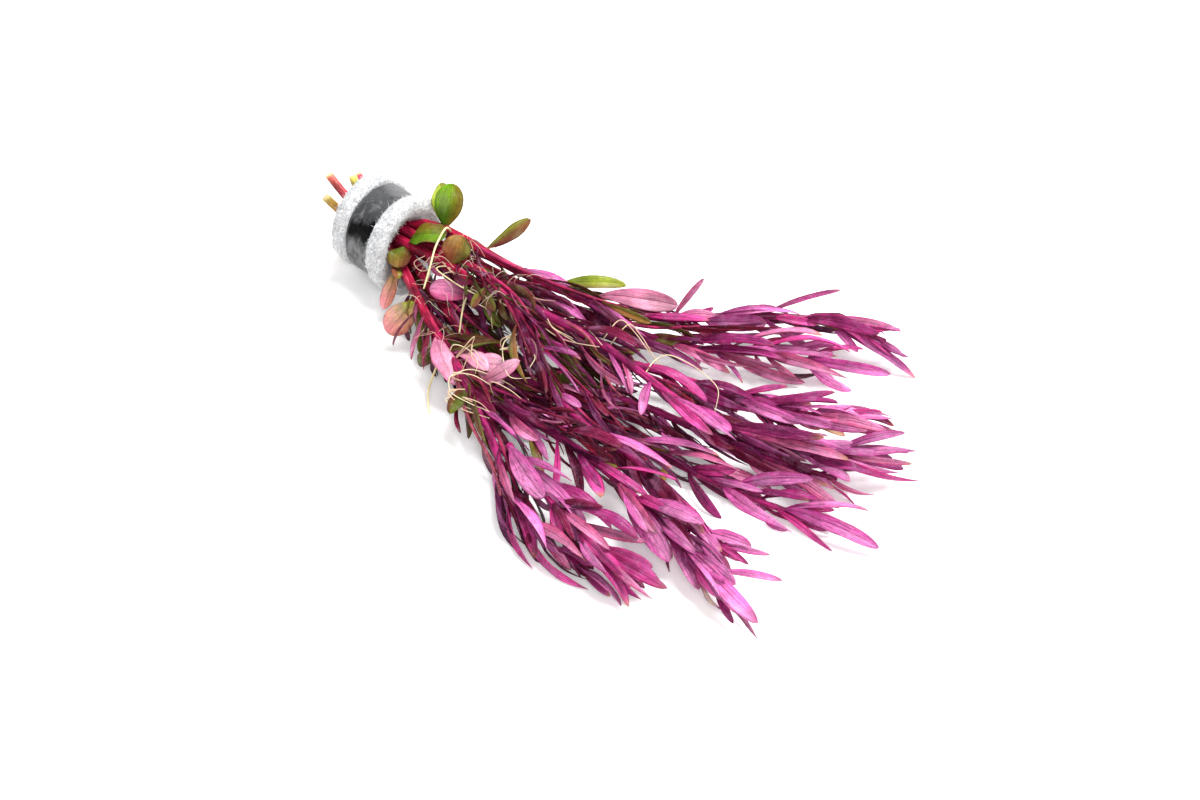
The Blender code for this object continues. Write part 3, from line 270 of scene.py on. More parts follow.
# The long fine roots, each as the points that it passes.
HAIRS = [
    [(41, -3, 19), (45, -5, 15), (45, -7, 11)],
    [(47, 0, 17), (51, -2, 16), (59, 0, 13)],
    [(44, -12, 14), (45, -13, 11), (45, -13, 7)],
    [(38, -16, 14), (38, -17, 11), (39, -18, 8)],
    [(41, -20, 14), (44, -20, 13), (44, -18, 10)],
    [(40, -26, 10), (46, -25, 12), (51, -24, 11)],
    [(51, -24, 12), (56, -23, 12), (60, -22, 10)],
    [(43, -31, 9), (47, -31, 7), (53, -29, 6)],
    [(43, -32, 7), (48, -31, 5), (53, -28, 3)],
    [(48, -31, 10), (52, -29, 9), (55, -28, 6)],
    [(78, 7, 14), (80, 10, 15), (86, 11, 15), (92, 11, 14), (96, 10, 13), (98, 7, 11), (99, 4, 8)],
    [(63, 11, 16), (69, 10, 16), (74, 9, 14), (81, 8, 12)],
    [(65, 12, 15), (70, 11, 15), (74, 10, 13), (79, 8, 11)],
    [(11, -9, 19), (15, -10, 19), (17, -5, 20)],
    [(15, -7, 19), (17, -10, 18), (17, -12, 17), (13, -12, 15)],
    [(17, -5, 20), (22, -6, 20), (25, -4, 19)],
    [(19, -7, 18), (23, -8, 17), (25, -10, 15)],
    [(19, -5, 19), (25, -6, 18), (28, -9, 16), (29, -11, 14)],
    [(28, -6, 18), (33, -6, 18), (36, -6, 16)],
    [(31, -8, 17), (35, -7, 15), (38, -9, 12)],
    [(37, -5, 18), (40, -4, 16), (43, -6, 13), (43, -9, 11)],
    [(34, -19, 11), (38, -18, 11), (41, -18, 9), (43, -21, 8)],
    [(32, -4, 16), (38, 2, 16), (43, 4, 16), (46, 6, 16)],
    [(40, 1, 15), (47, -2, 15), (54, -3, 15), (59, -2, 15), (65, 1, 15)],
    [(46, 2, 15), (51, -1, 15), (58, -1, 15)],
    [(38, -17, 12), (41, -20, 12), (47, -22, 12)],
    [(39, -26, 8), (43, -30, 8), (49, -30, 8), (55, -29, 8)],
    [(42, -30, 7), (48, -32, 7), (56, -30, 7)],
    [(41, -27, 10), (43, -22, 10), (53, -20, 10), (61, -21, 10)],
    [(45, -12, 14), (50, -18, 14), (55, -21, 14), (59, -18, 14)],
    [(21, 1, 18), (27, -1, 18), (34, -2, 18), (43, -4, 18)],
    [(47, -16, 15), (50, -12, 15), (55, -12, 15), (57, -16, 15)],
    [(51, 2, 15), (53, 5, 15), (59, 4, 15), (65, 2, 15)],
]

# Gaps in the bunch where the table shows.
OPEN_SPOTS = [
    (43, -31, 9), (34, -19, 6), (62, -43, 4), (67, -47, 5), (80, -58, 6),
    (13, 12, 20), (28, 12, 16), (34, 13, 14), (45, 0, 24), (55, 24, 17), (49, 20, 16), (72, 23, 13),
    (76, 40, 15), (82, 4, 13), (78, 10, 6), (88, 3, 15), (98, 3, 14), (88, 31, 2), (105, 33, 8),
    (116, -17, 6), (150, -21, 4), (96, 58, 10), (104, 59, 11), (141, 8, 2), (146, 13, 0),
    (124, 52, 6), (141, 38, 9), (152, -36, 6), (119, -55, 0), (109, -17, 3), (126, -14, 3),
    (118, -11, 2), (132, -8, 1), (84, 22, 9), (96, 24, 8), (92, 12, 12), (103, 20, 9),
    (34, 16, 16), (38, 16, 14), (30, 19, 12), (36, 19, 10), (28, 18, 14), (42, 14, 17),
    (33, 4, 23), (32, 7, 14), (30, 5, 20), (28, 8, 14), (38, -28, 2), (72, 14, 2), (148, -28, 2),
    (22, -24, 1), (36, 13, 9), (81, 39, 14), (127, 48, 1), (112, 44, 3),
    (26, 9, 20), (24, 11, 17), (22, 14, 14),
]
# Dark leaves deep in the bunch, the spoon-formed ones darkened further by painted shade, and a few in
# the lower crown:
# stem, point of growth, tip, width, form and tone.
ADDED_LEAVES = [
    ("f", (-4, 0, 8), (11, -3, 7), 4.5, "spoon", "moss"),
    ("f", (-1, -1, 8), (13, -5, 5), 4.0, "spoon", "umber"),
    ("i", (5, 2, 10), (21, 2, 8), 4.0, "spoon", "wine"),
    ("i", (36, 1, 10), (51, -6, 7), 4.0, "spoon", "wine"),
    ("e", (33, -13, 9), (50, -9, 6), 4.0, "spoon", "moss"),
    ("h", (31, 8, 12), (43, 13, 7), 3.5, "spoon", "plum"),
    ("e", (30, -12, 9), (44, -7, 5), 4.0, "spoon", "wine"),
    ("i", (30, 2, 10), (45, -2, 6), 4.0, "spoon", "umber"),
    ("j", (102, -46, 6), (124, -44, 5), 3.4, "lance", "mauve"),
    ("j", (105, -46, 6), (119, -42, 6), 3.2, "lance", "magenta"),
    ("g", (104, -30, 8), (118, -41, 4), 3.2, "lance", "plum"),
    ("d", (115, -26, 7), (133, -26, 5), 3.2, "lance", "orchid"),
]

# How the half width runs from base to tip: where it is widest, how it rises to there, and
# the two exponents of how it falls to the tip.
FORMS = {
    "lance": (0.56, 0.72, 2.6, 0.56),
    "dart": (0.42, 0.75, 1.5, 0.95),
    "spoon": (0.66, 1.1, 2.6, 0.52),
    "round": (0.52, 0.55, 2.2, 0.52),
}
CROWN_LENGTH = 40
CROWN_NODE_SPACING = 10.0
LOWER_NODE_SPACING = 17.0
BARE_TO_X = 38
# From the growing tip down: how far the leaves stand off their stem, and how long they are.
YOUNG_SWEEP_DEG = (5, 10, 13, 16, 18)
YOUNG_LENGTH = (12, 18, 22, 22, 19)
# The side that the bunch is seen from, which the blades turn their faces to.
VIEW_SIDE = Vector((0.32, -0.38, 1.0))
# The fine side of the model: how thick a drawn blade is, where the twigs start, and how many
# short hairs a stem and loose fibres the roll have.
LEAF_BODY = 0.3
TWIGS_FROM_X = (12, 20, 29, 38, 48)
SHORT_HAIRS = 9
FIBRES = 6500
# The lumps of the foam from coarse to fine: how fine and how high.
FOAM_LUMPS = ((0.3, 0.5), (0.9, 0.24), (2.6, 0.2), (5.2, 0.16))
# Painted shade on the growth low in the bunch: how light its colour is on the table and at least,
# how high it lies where it has full light, and up to which x the bunch shades it, with the stretch
# where that ends.
DIM_AT_TABLE = 0.3
DIMMEST = 0.35
DIM_DEPTH = 13
DIM_TO_X = 125
DIM_FADE = 15
# Pink leaves are drawn in full up to this width, and past it only a share of their width counts.
LEAF_MOST = 5.5
CROWN_LEAF_MOST = 4.2
SHARE_PAST_MOST = 0.35
# Where the upper crowns start, and the share of their leaves' width that is drawn.
UPPER_FROM_Y = -30
UPPER_SHARE = 0.85
# The tip of the leaf that has a bleached patch, and of a slender one at the upper crown.
BLEACHED_TIP = Vector((139.6, -41.4, 3.3))
BLEACHED_SWELL = 1.6
SLENDER_TIP = Vector((94.7, 61.5, 11.2))
SLENDER_SHARE = 0.45
# How a small inner leaf grows: how far it stands off its stem in degrees, how long it is, and
# its tones. At the foot of the bunch, lower down, in old growth and at a growing tip.
INNER_GROWTH = {
    "foot": ((10, 60), (7, 16), ("wine", "crimson", "umber", "wine", "plum", "moss", "dusk")),
    "low": ((4, 22), (10, 19), ("wine", "crimson", "plum", "umber", "dusk", "russet")),
    "far": ((4, 22), (10, 19), ("wine", "crimson", "plum", "crimson", "dusk", "mauve")),
    "old": ((3, 16), (14, 25), ("plum", "wine", "mauve", "orchid", "magenta", "dusk")),
    "tip": ((3, 16), (14, 25), ("magenta", "orchid", "mauve", "orchid", "magenta", "dusk")),
}
FOOT_TO_X = 36
LOW_TO_X = 62
# How far apart the inner leaves grow: at the foot, in the lower bunch, beyond it, in the crowns.
FOOT_SPACING = 1.4
LOW_SPACING = 3.2
FAR_SPACING = 4.2
TIP_SPACING = 2.4
# The long fine roots past this x are shifted by so much, to lie on the leaves.
SHIFTED_FROM_X = 30
LONG_HAIR_SHIFT = (1.7, -1.92, 2.4)
# How thick the water roots are drawn, and the long one of stem b.
ROOT_SIZE = 0.3
FINE_ROOT_SIZE = 0.16
# By what share a stem swells at a knot and how far, and by what share it narrows behind the foam.
KNOT_SWELL = 0.12
KNOT_REACH = 0.9
STUB_NARROWING = 0.16
STUB_FROM_X = -16
# Blush leaves are broader up to the first x, and past the second one they are orchid.
BLUSH_SWELL = 1.45
BROAD_BLUSH_TO_X = 60
BLUSH_TO_X = 90
# Over how many degrees before its lap the strip rises off its first turn.
LAP_RISE_DEG = 34
# The light of the room, the lamps as name, place, size and power, and how much the table glows as
# painted light.
FILL = 0.53
LAMPS = (("key", (0.2, 0.5, 1.35), 0.85, 34.5), ("front", (0.9, -0.9, 1.2), 0.7, 11.5))
LAMPS_AIM = Vector((0.06, 0, 0))
FLOOR_GLOW = 0.2
# The camera in metres: 43 degrees down on the table, 41 degrees round from its long side.
CAMERA_AT = Vector((0.476595, -0.472198, 0.581745))
CAMERA_AIM = Vector((0.067316, -0.001376, 0))
LENS_MM = 101.25
SENSOR_MM = 36
FLOOR_REACH = 3.0


def roll_centre(x):
    """The y and z of the roll's centre at each x."""
    share = np.clip((FOAM_TO_X - np.asarray(x, float)) / (FOAM_TO_X - FOAM_FROM_X), 0, 1.1)
    return np.stack([ROLL_ASIDE * share, AXIS_Z + ROLL_RISE * share], axis=-1)


def roll_point(x, radius, turn):
    """A point of the roll at one place of its section, turned round its centre."""
    y, z = radius * math.cos(turn), radius * math.sin(turn)
    share = min(max((x - STRIP_TO_X) / (FOAM_TO_X - STRIP_TO_X), 0.0), 1.1)
    x -= END_SLANT * (z + FOAM_FLARE_RADIUS) * share
    aside, height = roll_centre(x)
    return Vector((x, y + aside, z + height))


def foam_outline():
    """Half of the roll's section: x and radius, over its outside and back through its bore."""
    waist, flare = FOAM_WAIST_RADIUS, FOAM_FLARE_RADIUS
    return [
        (FOAM_TO_X - 1.0, BORE_MOUTH_RADIUS - 0.5),
        (FOAM_TO_X, BORE_MOUTH_RADIUS + 0.5),
        (FOAM_TO_X - 0.2, flare - 1.3),
        (FOAM_TO_X - 1.6, flare - 0.1),
        (STRIP_TO_X + 2.4, flare - 0.3),
        (STRIP_TO_X + 0.9, flare - 1.2),
        (STRIP_TO_X + 0.7, waist),
        (STRIP_FROM_X - 0.7, waist),
        (STRIP_FROM_X - 0.9, flare - 1.2),
        (STRIP_FROM_X - 2.2, flare - 0.4),
        (FOAM_FROM_X + 1.4, flare - 0.3),
        (FOAM_FROM_X, flare - 1.8),
        (FOAM_FROM_X, BORE_RADIUS + 1.8),
        (FOAM_FROM_X + 1.4, BORE_RADIUS + 0.3),
        (-8, BORE_RADIUS),
        (BORE_MOUTH_FROM_X, BORE_RADIUS + 0.1),
    ]


def grown_outline(outline, margin):
    """The outline moved outward by a margin."""
    points = np.array(outline, float)
    edge = np.roll(points, -1, axis=0) - points
    normal = np.stack([edge[:, 1], -edge[:, 0]], axis=1) / np.linalg.norm(edge, axis=1)[:, None]
    corner = normal + np.roll(normal, 1, axis=0)
    return points + corner / np.linalg.norm(corner, axis=1)[:, None] * margin


def turned_mesh(outline, sides):
    """Points and faces of the outline turned round the roll, for the tests of what would touch."""
    points = []
    for x, radius in outline:
        for k in range(sides):
            points.append(roll_point(x, radius, 2 * math.pi * k / sides))
    rows = len(outline)
    faces = []
    for i in range(rows):
        for k in range(sides):
            j, after = (i + 1) % rows, (k + 1) % sides
            faces.append((i * sides + k, i * sides + after, j * sides + after, j * sides + k))
    return points, faces


def smooth_line(points, step):
    """Points along a smooth curve through the given points, about a step apart."""
    ends = [points[0] * 2 - points[1]] + list(points) + [points[-1] * 2 - points[-2]]
    line = []
    for a, b, c, d in zip(ends, ends[1:], ends[2:], ends[3:]):
        count = max(2, round(np.linalg.norm(c - b) / step))
        for t in np.linspace(0, 1, count, endpoint=False):
            bent = 2 * b + (c - a) * t + (2 * a - 5 * b + 4 * c - d) * t**2
            line.append(0.5 * (bent + (3 * b - a - 3 * c + d) * t**3))
    line.append(points[-1])
    return np.array(line)


def along_line(line):
    """How far each point of a line is from its start, measured along it."""
    return np.concatenate([[0], np.cumsum(np.linalg.norm(np.diff(line, axis=0), axis=1))])


def index_at(line, x):
    """Which point of a line lies nearest to an x."""
    return int(np.argmin(np.abs(line[:, 0] - x)))


def index_by(line, spot):
    """Which point of a line lies nearest to a spot."""
    return int(np.argmin(np.linalg.norm(line - np.array(spot, float), axis=1)))


def index_after(along, distance):
    """Which point lies nearest to a distance along a line, never its last one."""
    return min(int(np.argmin(np.abs(along - distance))), len(along) - 2)


def stem_routes():
    """The centre line of each stem as if it were alone."""
    routes = {}
    for key, (place, cut_end, passed) in CUTTINGS.items():
        ring = np.zeros(2)
        if place is not CENTRE:
            turn = math.radians(place)
            ring = RING_RADIUS * np.array((math.cos(turn), math.sin(turn)))
        inside = [(x, *(roll_centre(x) + ring)) for x in (-14, -4)]
        routes[key] = smooth_line([np.array(p, float) for p in [cut_end, *inside, *passed]], 2.5)
    for key, (_, passed) in SHOOTS.items():
        routes[key] = smooth_line([np.array(p, float) for p in passed], 2.5)
    return routes


def stem_radii(line, start_radius=STEM_RADIUS):
    """The stem's radius at each point of its line."""
    return start_radius + (STEM_TIP_RADIUS - start_radius) * np.linspace(0, 1, len(line)) ** 1.5


def settle(routes):
    """Moves the stems apart where they would touch, and keeps them in the foam and on the table."""
    keys = list(routes)
    counts = [len(routes[key]) for key in keys]
    owner = np.repeat(np.arange(len(keys)), counts)
    home = np.concatenate([routes[key] for key in keys])
    radius = np.concatenate([stem_radii(routes[key]) for key in keys])
    inner = np.ones(len(home), bool)
    inner[np.cumsum(counts) - 1] = False
    inner[np.cumsum([0] + counts[:-1])] = False
    points = home.copy()
    wanted = radius[:, None] + radius[None] + CLEARANCE + 0.25
    wanted[owner[:, None] == owner[None]] = 0
    for _ in range(220):
        apart = points[:, None] - points[None]
        distance = np.linalg.norm(apart, axis=2) + 1e-6
        push = np.clip(wanted - distance, 0, None) * 0.4
        move = (apart / distance[..., None] * push[..., None]).sum(axis=1)
        spread = move.copy()
        for side in (-2, -1, 1, 2):
            spread += np.roll(move, side, axis=0) * (np.roll(owner, side) == owner)[:, None] * 0.5
        points = points + spread * 0.6 + (home - points) * 0.01
        middle = (np.roll(points, 1, axis=0) + np.roll(points, -1, axis=0)) / 2
        points[inner] += (middle - points)[inner] * 0.15
        x = points[:, 0]
        off = points[:, 1:] - roll_centre(x)
        reach = np.linalg.norm(off, axis=1) + 1e-6
        opened = np.clip((x - BORE_MOUTH_FROM_X) / (FOAM_TO_X - BORE_MOUTH_FROM_X), 0, 1)
        limit = BORE_RADIUS + opened * (BORE_MOUTH_RADIUS - BORE_RADIUS) - radius - 0.8
        held = (x > FOAM_FROM_X - 2) & (x < FOAM_TO_X + 1) & (reach > limit)
        points[held, 1:] = roll_centre(x)[held] + off[held] * (limit / reach)[held, None]
        points[:, 2] = np.maximum(points[:, 2], radius + TABLE_GAP)
    parts = np.split(points, np.cumsum(counts)[:-1])
    return dict(zip(keys, parts))


def tube_mesh(line, radii, sides):
    """Points and faces of a closed tube, for the tests of what would touch."""
    points = []
    for i, centre in enumerate(line):
        ahead = Vector(line[min(i + 1, len(line) - 1)] - line[max(i - 1, 0)]).normalized()
        across = ahead.cross(Vector((0, 0, 1))).normalized()
        over = across.cross(ahead)
        for k in range(sides):
            turn = 2 * math.pi * k / sides
            points.append(Vector(centre) + (across * math.cos(turn) + over * math.sin(turn)) * radii[i])
    faces = []
    for i in range(len(line) - 1):
        for k in range(sides):
            after = (k + 1) % sides
            row, above = i * sides, (i + 1) * sides
            faces.append((row + k, row + after, above + after, above + k))
    faces.append(tuple(reversed(range(sides))))
    faces.append(tuple((len(line) - 1) * sides + k for k in range(sides)))
    return points, faces


def half_width(form, t):
    """Half the width of a leaf at a share of its length, where 1 is its widest."""
    widest, rise, fall, blunt = FORMS[form]
    if t <= widest:
        return math.sin(math.pi / 2 * t / widest) ** rise
    return (1 - ((t - widest) / (1 - widest)) ** fall) ** blunt


def blade_points(leaf, stations, swell=1.0):
    """The blade's middle and its two edges at each station from base to tip."""
    base, tip = leaf["base"], leaf["tip"]
    chord = tip - base
    length = chord.length
    ahead = chord / length
    face = (leaf["facing"] - ahead * leaf["facing"].dot(ahead)).normalized()
    across = Matrix.Rotation(leaf["roll"], 3, ahead) @ ahead.cross(face)
    face = across.cross(ahead)
    rows = []
    for t in stations:
        width = max(leaf["width"] / 2 * half_width(leaf["form"], t) * swell, 0.3)
        bow = 4 * t * (1 - t) * leaf["arch"] * length
        middle = base + chord * t + face * bow
        raised = face * (width * leaf["fold"])
        row = [middle + across * width + raised, middle, middle - across * width + raised]
        for point in row:
            point.z = max(point.z, leaf["floor"])
        rows.append(row)
    return rows, face


def blade_mesh(leaf, stations, swell=1.0):
    """The open surface of a leaf: a point at each end, and its edges at each station between.

    A leaf that isn't plain has its middle at each station too.
    """
    rows, face = blade_points(leaf, (0, *stations, 1), swell)
    columns = 2 if leaf["plain"] else 3
    points = [rows[0][1]]
    for row in rows[1:-1]:
        points += row[::2] if leaf["plain"] else row
    points.append(rows[-1][1])
    last = len(points) - 1
    strips = range(columns - 1)
    faces = [(0, k + 2, k + 1) for k in strips]
    for i in range(1, last - 2 * columns + 1, columns):
        faces += [(i + k, i + k + 1, i + k + columns + 1, i + k + columns) for k in strips]
    faces += [(last - columns + k, last - columns + k + 1, last) for k in strips]
    return points, faces, face


def fat_blade(leaf, stations, margin):
    """A closed solid round the leaf that is a margin larger all round."""
    points, faces, face = blade_mesh(leaf, stations, 1.0 + margin / max(leaf["width"], 2))
    over = face * (LEAF_THICKNESS / 2 + margin)
    count = len(points)
    both = [p + over for p in points] + [p - over for p in points]
    columns = 2 if leaf["plain"] else 3
    rim = [0] + list(range(1, count - 1, columns)) + [count - 1] + list(range(count - 2, 1, -columns))
    closed = list(faces) + [tuple(count + k for k in reversed(f)) for f in faces]
    for a, b in zip(rim, rim[1:] + rim[:1]):
        closed.append((a, b, count + b, count + a))
    return both, closed


class Crowd:
    """Everything placed so far, for the tests of what would touch."""

    def __init__(self):
        self.lows = []
        self.highs = []
        self.trees = []
        self.groups = []

    def add(self, group, points, faces):
        array = np.array(points)
        self.lows.append(array.min(axis=0))
        self.highs.append(array.max(axis=0))
        self.trees.append(BVHTree.FromPolygons(points, faces))
        self.groups.append(group)

    def touches(self, group, whole):
        """True if the solid would touch another plant or another single leaf."""
        array = np.array(whole[0])
        near = np.all(np.array(self.lows) < array.max(axis=0), axis=1)
        near &= np.all(np.array(self.highs) > array.min(axis=0), axis=1)
        near = [k for k in np.flatnonzero(near) if self.groups[k] != group]
        if not near:
            return False
        tree = BVHTree.FromPolygons(*whole)
        return any(tree.overlap(self.trees[k]) for k in near)


def stations_of(leaf):
    """Where the tests cut a blade across, as shares of its length."""
    return (0.16, 0.38, 0.62, 0.84) if leaf["own"] else (0.28, 0.68)


def heading(line, near):
    """Which way a stem grows at one of its points."""
    return Vector(line[min(near + 1, len(line) - 1)] - line[max(near - 1, 0)]).normalized()


def in_the_open(tip):
    """True if the tip lies where the table shows between the crowns."""
    return any(math.hypot(tip.x - x, tip.y - y) < OPEN_REACH for x, y in OPEN_PLACES)


def place_leaf(crowd, leaf, line, tries):
    """Puts the leaf at the first tried tip where it touches nothing. True if there is one."""
    start = Vector(line[leaf["at"]])
    along = heading(line, leaf["at"])
    wanted = leaf["tip"] - start
    for turn, rise, scale in tries:
        reach = Matrix.Rotation(math.radians(turn), 3, "Z") @ wanted * scale
        side = reach.cross(Vector((0, 0, 1)))
        if side.length > 1e-3:
            reach = Matrix.Rotation(math.radians(rise), 3, side) @ reach
        out = reach - along * reach.dot(along)
        if out.length < reach.length * 0.05:
            out = VIEW_SIDE - along * VIEW_SIDE.dot(along)
        stand_off = leaf["stem_radius"] + LARGE_STAND_OFF if leaf["own"] else STAND_OFF
        leaf["base"] = start + out.normalized() * stand_off
        leaf["tip"] = start + reach
        leaf["tip"].z = max(leaf["tip"].z, leaf["floor"])
        if leaf["young"] and in_the_open(leaf["tip"]):
            continue
        group = leaf["own"] or "stem_" + leaf["stem"]
        free = not crowd.touches(group, fat_blade(leaf, stations_of(leaf), CLEARANCE))
        if free and leaf["young"]:
            past = reach.normalized() * min(OUTER_FROM, reach.length / 2)
            outer = dict(leaf, base=leaf["base"] + past)
            free = not crowd.touches(None, fat_blade(outer, stations_of(leaf), 0.1))
        if free:
            crowd.add(group, *fat_blade(leaf, stations_of(leaf), 0.0))
            return True
    return False


def place_root(crowd, stem, line, x, passed):
    """The root's line, moved aside where it would touch another plant. None if it always would."""
    start = line[index_at(line, x)]
    moves = [(y, z) for y in (0, 2, -2, 4, -4, 6) for z in (0, 2, -2, 4, 6)]
    for y, z in sorted(moves, key=lambda v: abs(v[0]) + abs(v[1])):
        points = [start] + [np.array(p) + (0, y, z) for p in passed]
        root = smooth_line(points, 4)
        root[:, 2] = np.maximum(root[:, 2], ROOT_RADIUS + TABLE_GAP)
        if not crowd.touches("stem_" + stem, tube_mesh(root, [ROOT_RADIUS + CLEARANCE] * len(root), 5)):
            crowd.add("stem_" + stem, *tube_mesh(root, [ROOT_RADIUS] * len(root), 5))
            return root
    return None


def tries_around(turns, rises, scales):
    """Ways to move a leaf aside, up and back, the smallest moves first."""
    tries = [(turn, rise, scale) for scale in scales for turn in turns for rise in rises]
    return sorted(tries, key=lambda v: abs(v[0]) / 10 + abs(v[1]) / 8 + (1 - v[2]) * 16)


def new_leaf(stem, tip, width, form, tone, dice):
    """A leaf with its own arch, fold and roll, before it has its place."""
    return {
        "stem": stem,
        "tip": Vector(tip),
        "width": width,
        "form": form,
        "tone": tone,
        "arch": dice.uniform(0.02, 0.12),
        "fold": dice.uniform(0.05, 0.2) if form == "round" else dice.uniform(0.12, 0.5),
        "roll": math.radians(dice.uniform(-24, 24)),
        "facing": VIEW_SIDE.normalized(),
        "floor": TABLE_GAP + dice.uniform(0, 0.3),
        "own": None,
        "plain": True,
        "young": False,
    }


def thinned(line, radii, spacing):
    """Every so many points of the line, both ends kept."""
    steps = along_line(line)
    count = max(3, round(steps[-1] / spacing) + 1)
    at = np.linspace(0, steps[-1], count)
    picked = np.stack([np.interp(at, steps, line[:, k]) for k in range(3)], axis=1)
    return picked, np.interp(at, steps, radii)


def shown_leaves(crowd, lines, radii, dice):
    """The leaves that show one by one, the large ones placed first."""
    shown = []
    for stem, rows in LEAVES:
        line = lines[stem]
        for x, tip, width, tone, *form in rows:
            leaf = new_leaf(stem, tip, width, form[0] if form else "lance", tone, dice)
            leaf["at"] = min(index_at(line, x), len(line) - 3)
            leaf["stem_radius"] = radii[stem][leaf["at"]]
            if width >= LARGE_LEAF_WIDTH:
                leaf["own"] = f"large leaf {len(shown)}"
                leaf["plain"] = False
            shown.append(leaf)
    shown.sort(key=lambda leaf: leaf["own"] is None)
    tries = tries_around((0, -4, 4, -8, 8, -13, 13), (0, 4, -4, 8, -8, 14, -14, 22, -22), (1, 0.9, 0.8))
    return [leaf for leaf in shown if place_leaf(crowd, leaf, lines[leaf["stem"]], tries)]


def outward(line, near, around):
    """Which way a stem grows at one of its points, and which way a leaf leaves it there."""
    ahead = heading(line, near)
    across = ahead.cross(Vector((0, 0, 1))).normalized()
    return ahead, Matrix.Rotation(around, 3, ahead) @ across


def swept_tip(start, ahead, out, sweep_deg, length):
    """Where a leaf ends that stands off its stem by an angle."""
    sweep = math.radians(sweep_deg)
    return Vector(start) + (ahead * math.cos(sweep) + out * math.sin(sweep)) * length


def young_leaves(crowd, lines, radii, dice):
    """Pairs of leaves at the nodes of the crowns, and single ones at the nodes lower down."""
    tries = tries_around((0, -8, 8, -16, 16), (0, 7, -7, 14, -14), (1, 0.85, 0.7))
    placed = []
    for key, line in lines.items():
        along = along_line(line)
        last = along[-1]
        crown = min(CROWN_LENGTH, last - 3)
        nodes = list(np.arange(last - 1.5, last - crown, -CROWN_NODE_SPACING))
        bare_to = along[index_at(line, BARE_TO_X)]
        lower = list(np.arange(last - crown - 6, max(bare_to, 3), -LOWER_NODE_SPACING))
        turn = dice.uniform(0, math.pi)
        for number, s in enumerate(nodes + lower):
            near = index_after(along, s)
            rank = min(number, len(YOUNG_LENGTH) - 1)
            for opposite in (0, math.pi) if number < len(nodes) else (0,):
                ahead, out = outward(line, near, turn + opposite + dice.uniform(-0.3, 0.3))
                sweep = YOUNG_SWEEP_DEG[rank] + dice.uniform(-4, 6)
                length = YOUNG_LENGTH[rank] * dice.uniform(0.85, 1.15)
                tip = swept_tip(line[near], ahead, out, sweep, length)
                tone = dice.choice(("magenta", "orchid", "mauve", "plum", "wine", "dusk"))
                form = dice.choice(("lance", "dart"))
                leaf = new_leaf(key, tip, length * dice.uniform(0.14, 0.2), form, tone, dice)
                leaf["at"] = near
                leaf["stem_radius"] = radii[key][near]
                leaf["young"] = True
                leaf["facing"] = (out * 0.8 + ahead * 0.3 + VIEW_SIDE * 0.7).normalized()
                if place_leaf(crowd, leaf, line, tries):
                    placed.append(leaf)
            turn += math.pi / 2
    return placed


def lay_out(crowd):
    """The settled stems, and every leaf and root in its place."""
    lines = settle(stem_routes())
    radii = {}
    for key, line in lines.items():
        radii[key] = stem_radii(line, SHOOT_RADIUS if key in SHOOTS else STEM_RADIUS)
    for key, line in lines.items():
        crowd.add("stem_" + key, *tube_mesh(*thinned(line, radii[key], STEM_SPACING), 6))
    crowd.add("foam_roll", *turned_mesh(grown_outline(foam_outline(), 0.45), 24))
    dice = random.Random(7)
    placed = shown_leaves(crowd, lines, radii, dice)
    placed += young_leaves(crowd, lines, radii, dice)
    roots = [(stem, place_root(crowd, stem, lines[stem], x, passed)) for stem, x, passed in ROOTS]
    return lines, radii, placed, [root for root in roots if root[1] is not None]


def linear(r, g, b):
    """A colour given in display values from 0 to 255, as the shader's linear values."""
    return np.array([((c / 255 + 0.055) / 1.055) ** 2.4 if c > 10 else c / 3294.6 for c in (r, g, b)])


# Each tone: the blade's colour near its base, near its tip, and along one side.
TONES = {
    "green": ((56, 88, 6), (96, 136, 18), (112, 88, 20)),
    "lime": ((112, 132, 24), (162, 176, 62), (150, 138, 60)),
    "moss": ((46, 54, 10), (86, 96, 24), (84, 34, 24)),
    "olive": ((84, 104, 18), (124, 92, 38), (104, 50, 30)),
    "umber": ((92, 34, 34), (122, 76, 48), (112, 118, 36)),
    "russet": ((126, 62, 42), (152, 114, 56), (92, 98, 26)),
    "rim": ((138, 148, 44), (228, 146, 150), (190, 120, 92)),
    "blush": ((192, 98, 134), (228, 168, 190), (212, 126, 160)),
    "dusk": ((146, 42, 88), (206, 126, 164), (168, 62, 104)),
    "mauve": ((128, 30, 92), (192, 106, 162), (150, 46, 111)),
    "orchid": ((154, 42, 111), (224, 136, 190), (192, 82, 151)),
    "magenta": ((150, 20, 86), (200, 78, 148), (172, 36, 109)),
    "crimson": ((120, 8, 40), (164, 40, 78), (140, 18, 48)),
    "plum": ((98, 4, 56), (150, 46, 110), (118, 14, 74)),
    "wine": ((76, 2, 33), (118, 16, 62), (92, 6, 40)),
    "straw": ((166, 84, 92), (222, 180, 140), (190, 104, 112)),
}
STEM_LOW = linear(140, 9, 48)
STEM_HIGH = linear(142, 20, 88)
TWIG_TONES = ((104, 6, 44), (150, 26, 76), (124, 14, 70), (150, 62, 80), (168, 50, 112))
DRY_TIP = (206, 150, 110)
BLEACHED = (244, 226, 190)
# Each stub behind the foam: its colour at the foam and at its cut end.
STUBS = {
    "b": ((156, 16, 58), (206, 104, 84)),
    "c": ((156, 84, 48), (194, 168, 74)),
    "d": ((120, 128, 40), (190, 180, 76)),
    "a": ((190, 36, 84), (206, 88, 108)),
    "h": ((128, 12, 34), (170, 50, 56)),
}
# The slots of the materials that a plant's piece carries.
STEM, PINK, GREEN, ROOT, PALE = range(5)
GREEN_TONES = ("green", "lime", "moss", "olive", "umber", "russet")
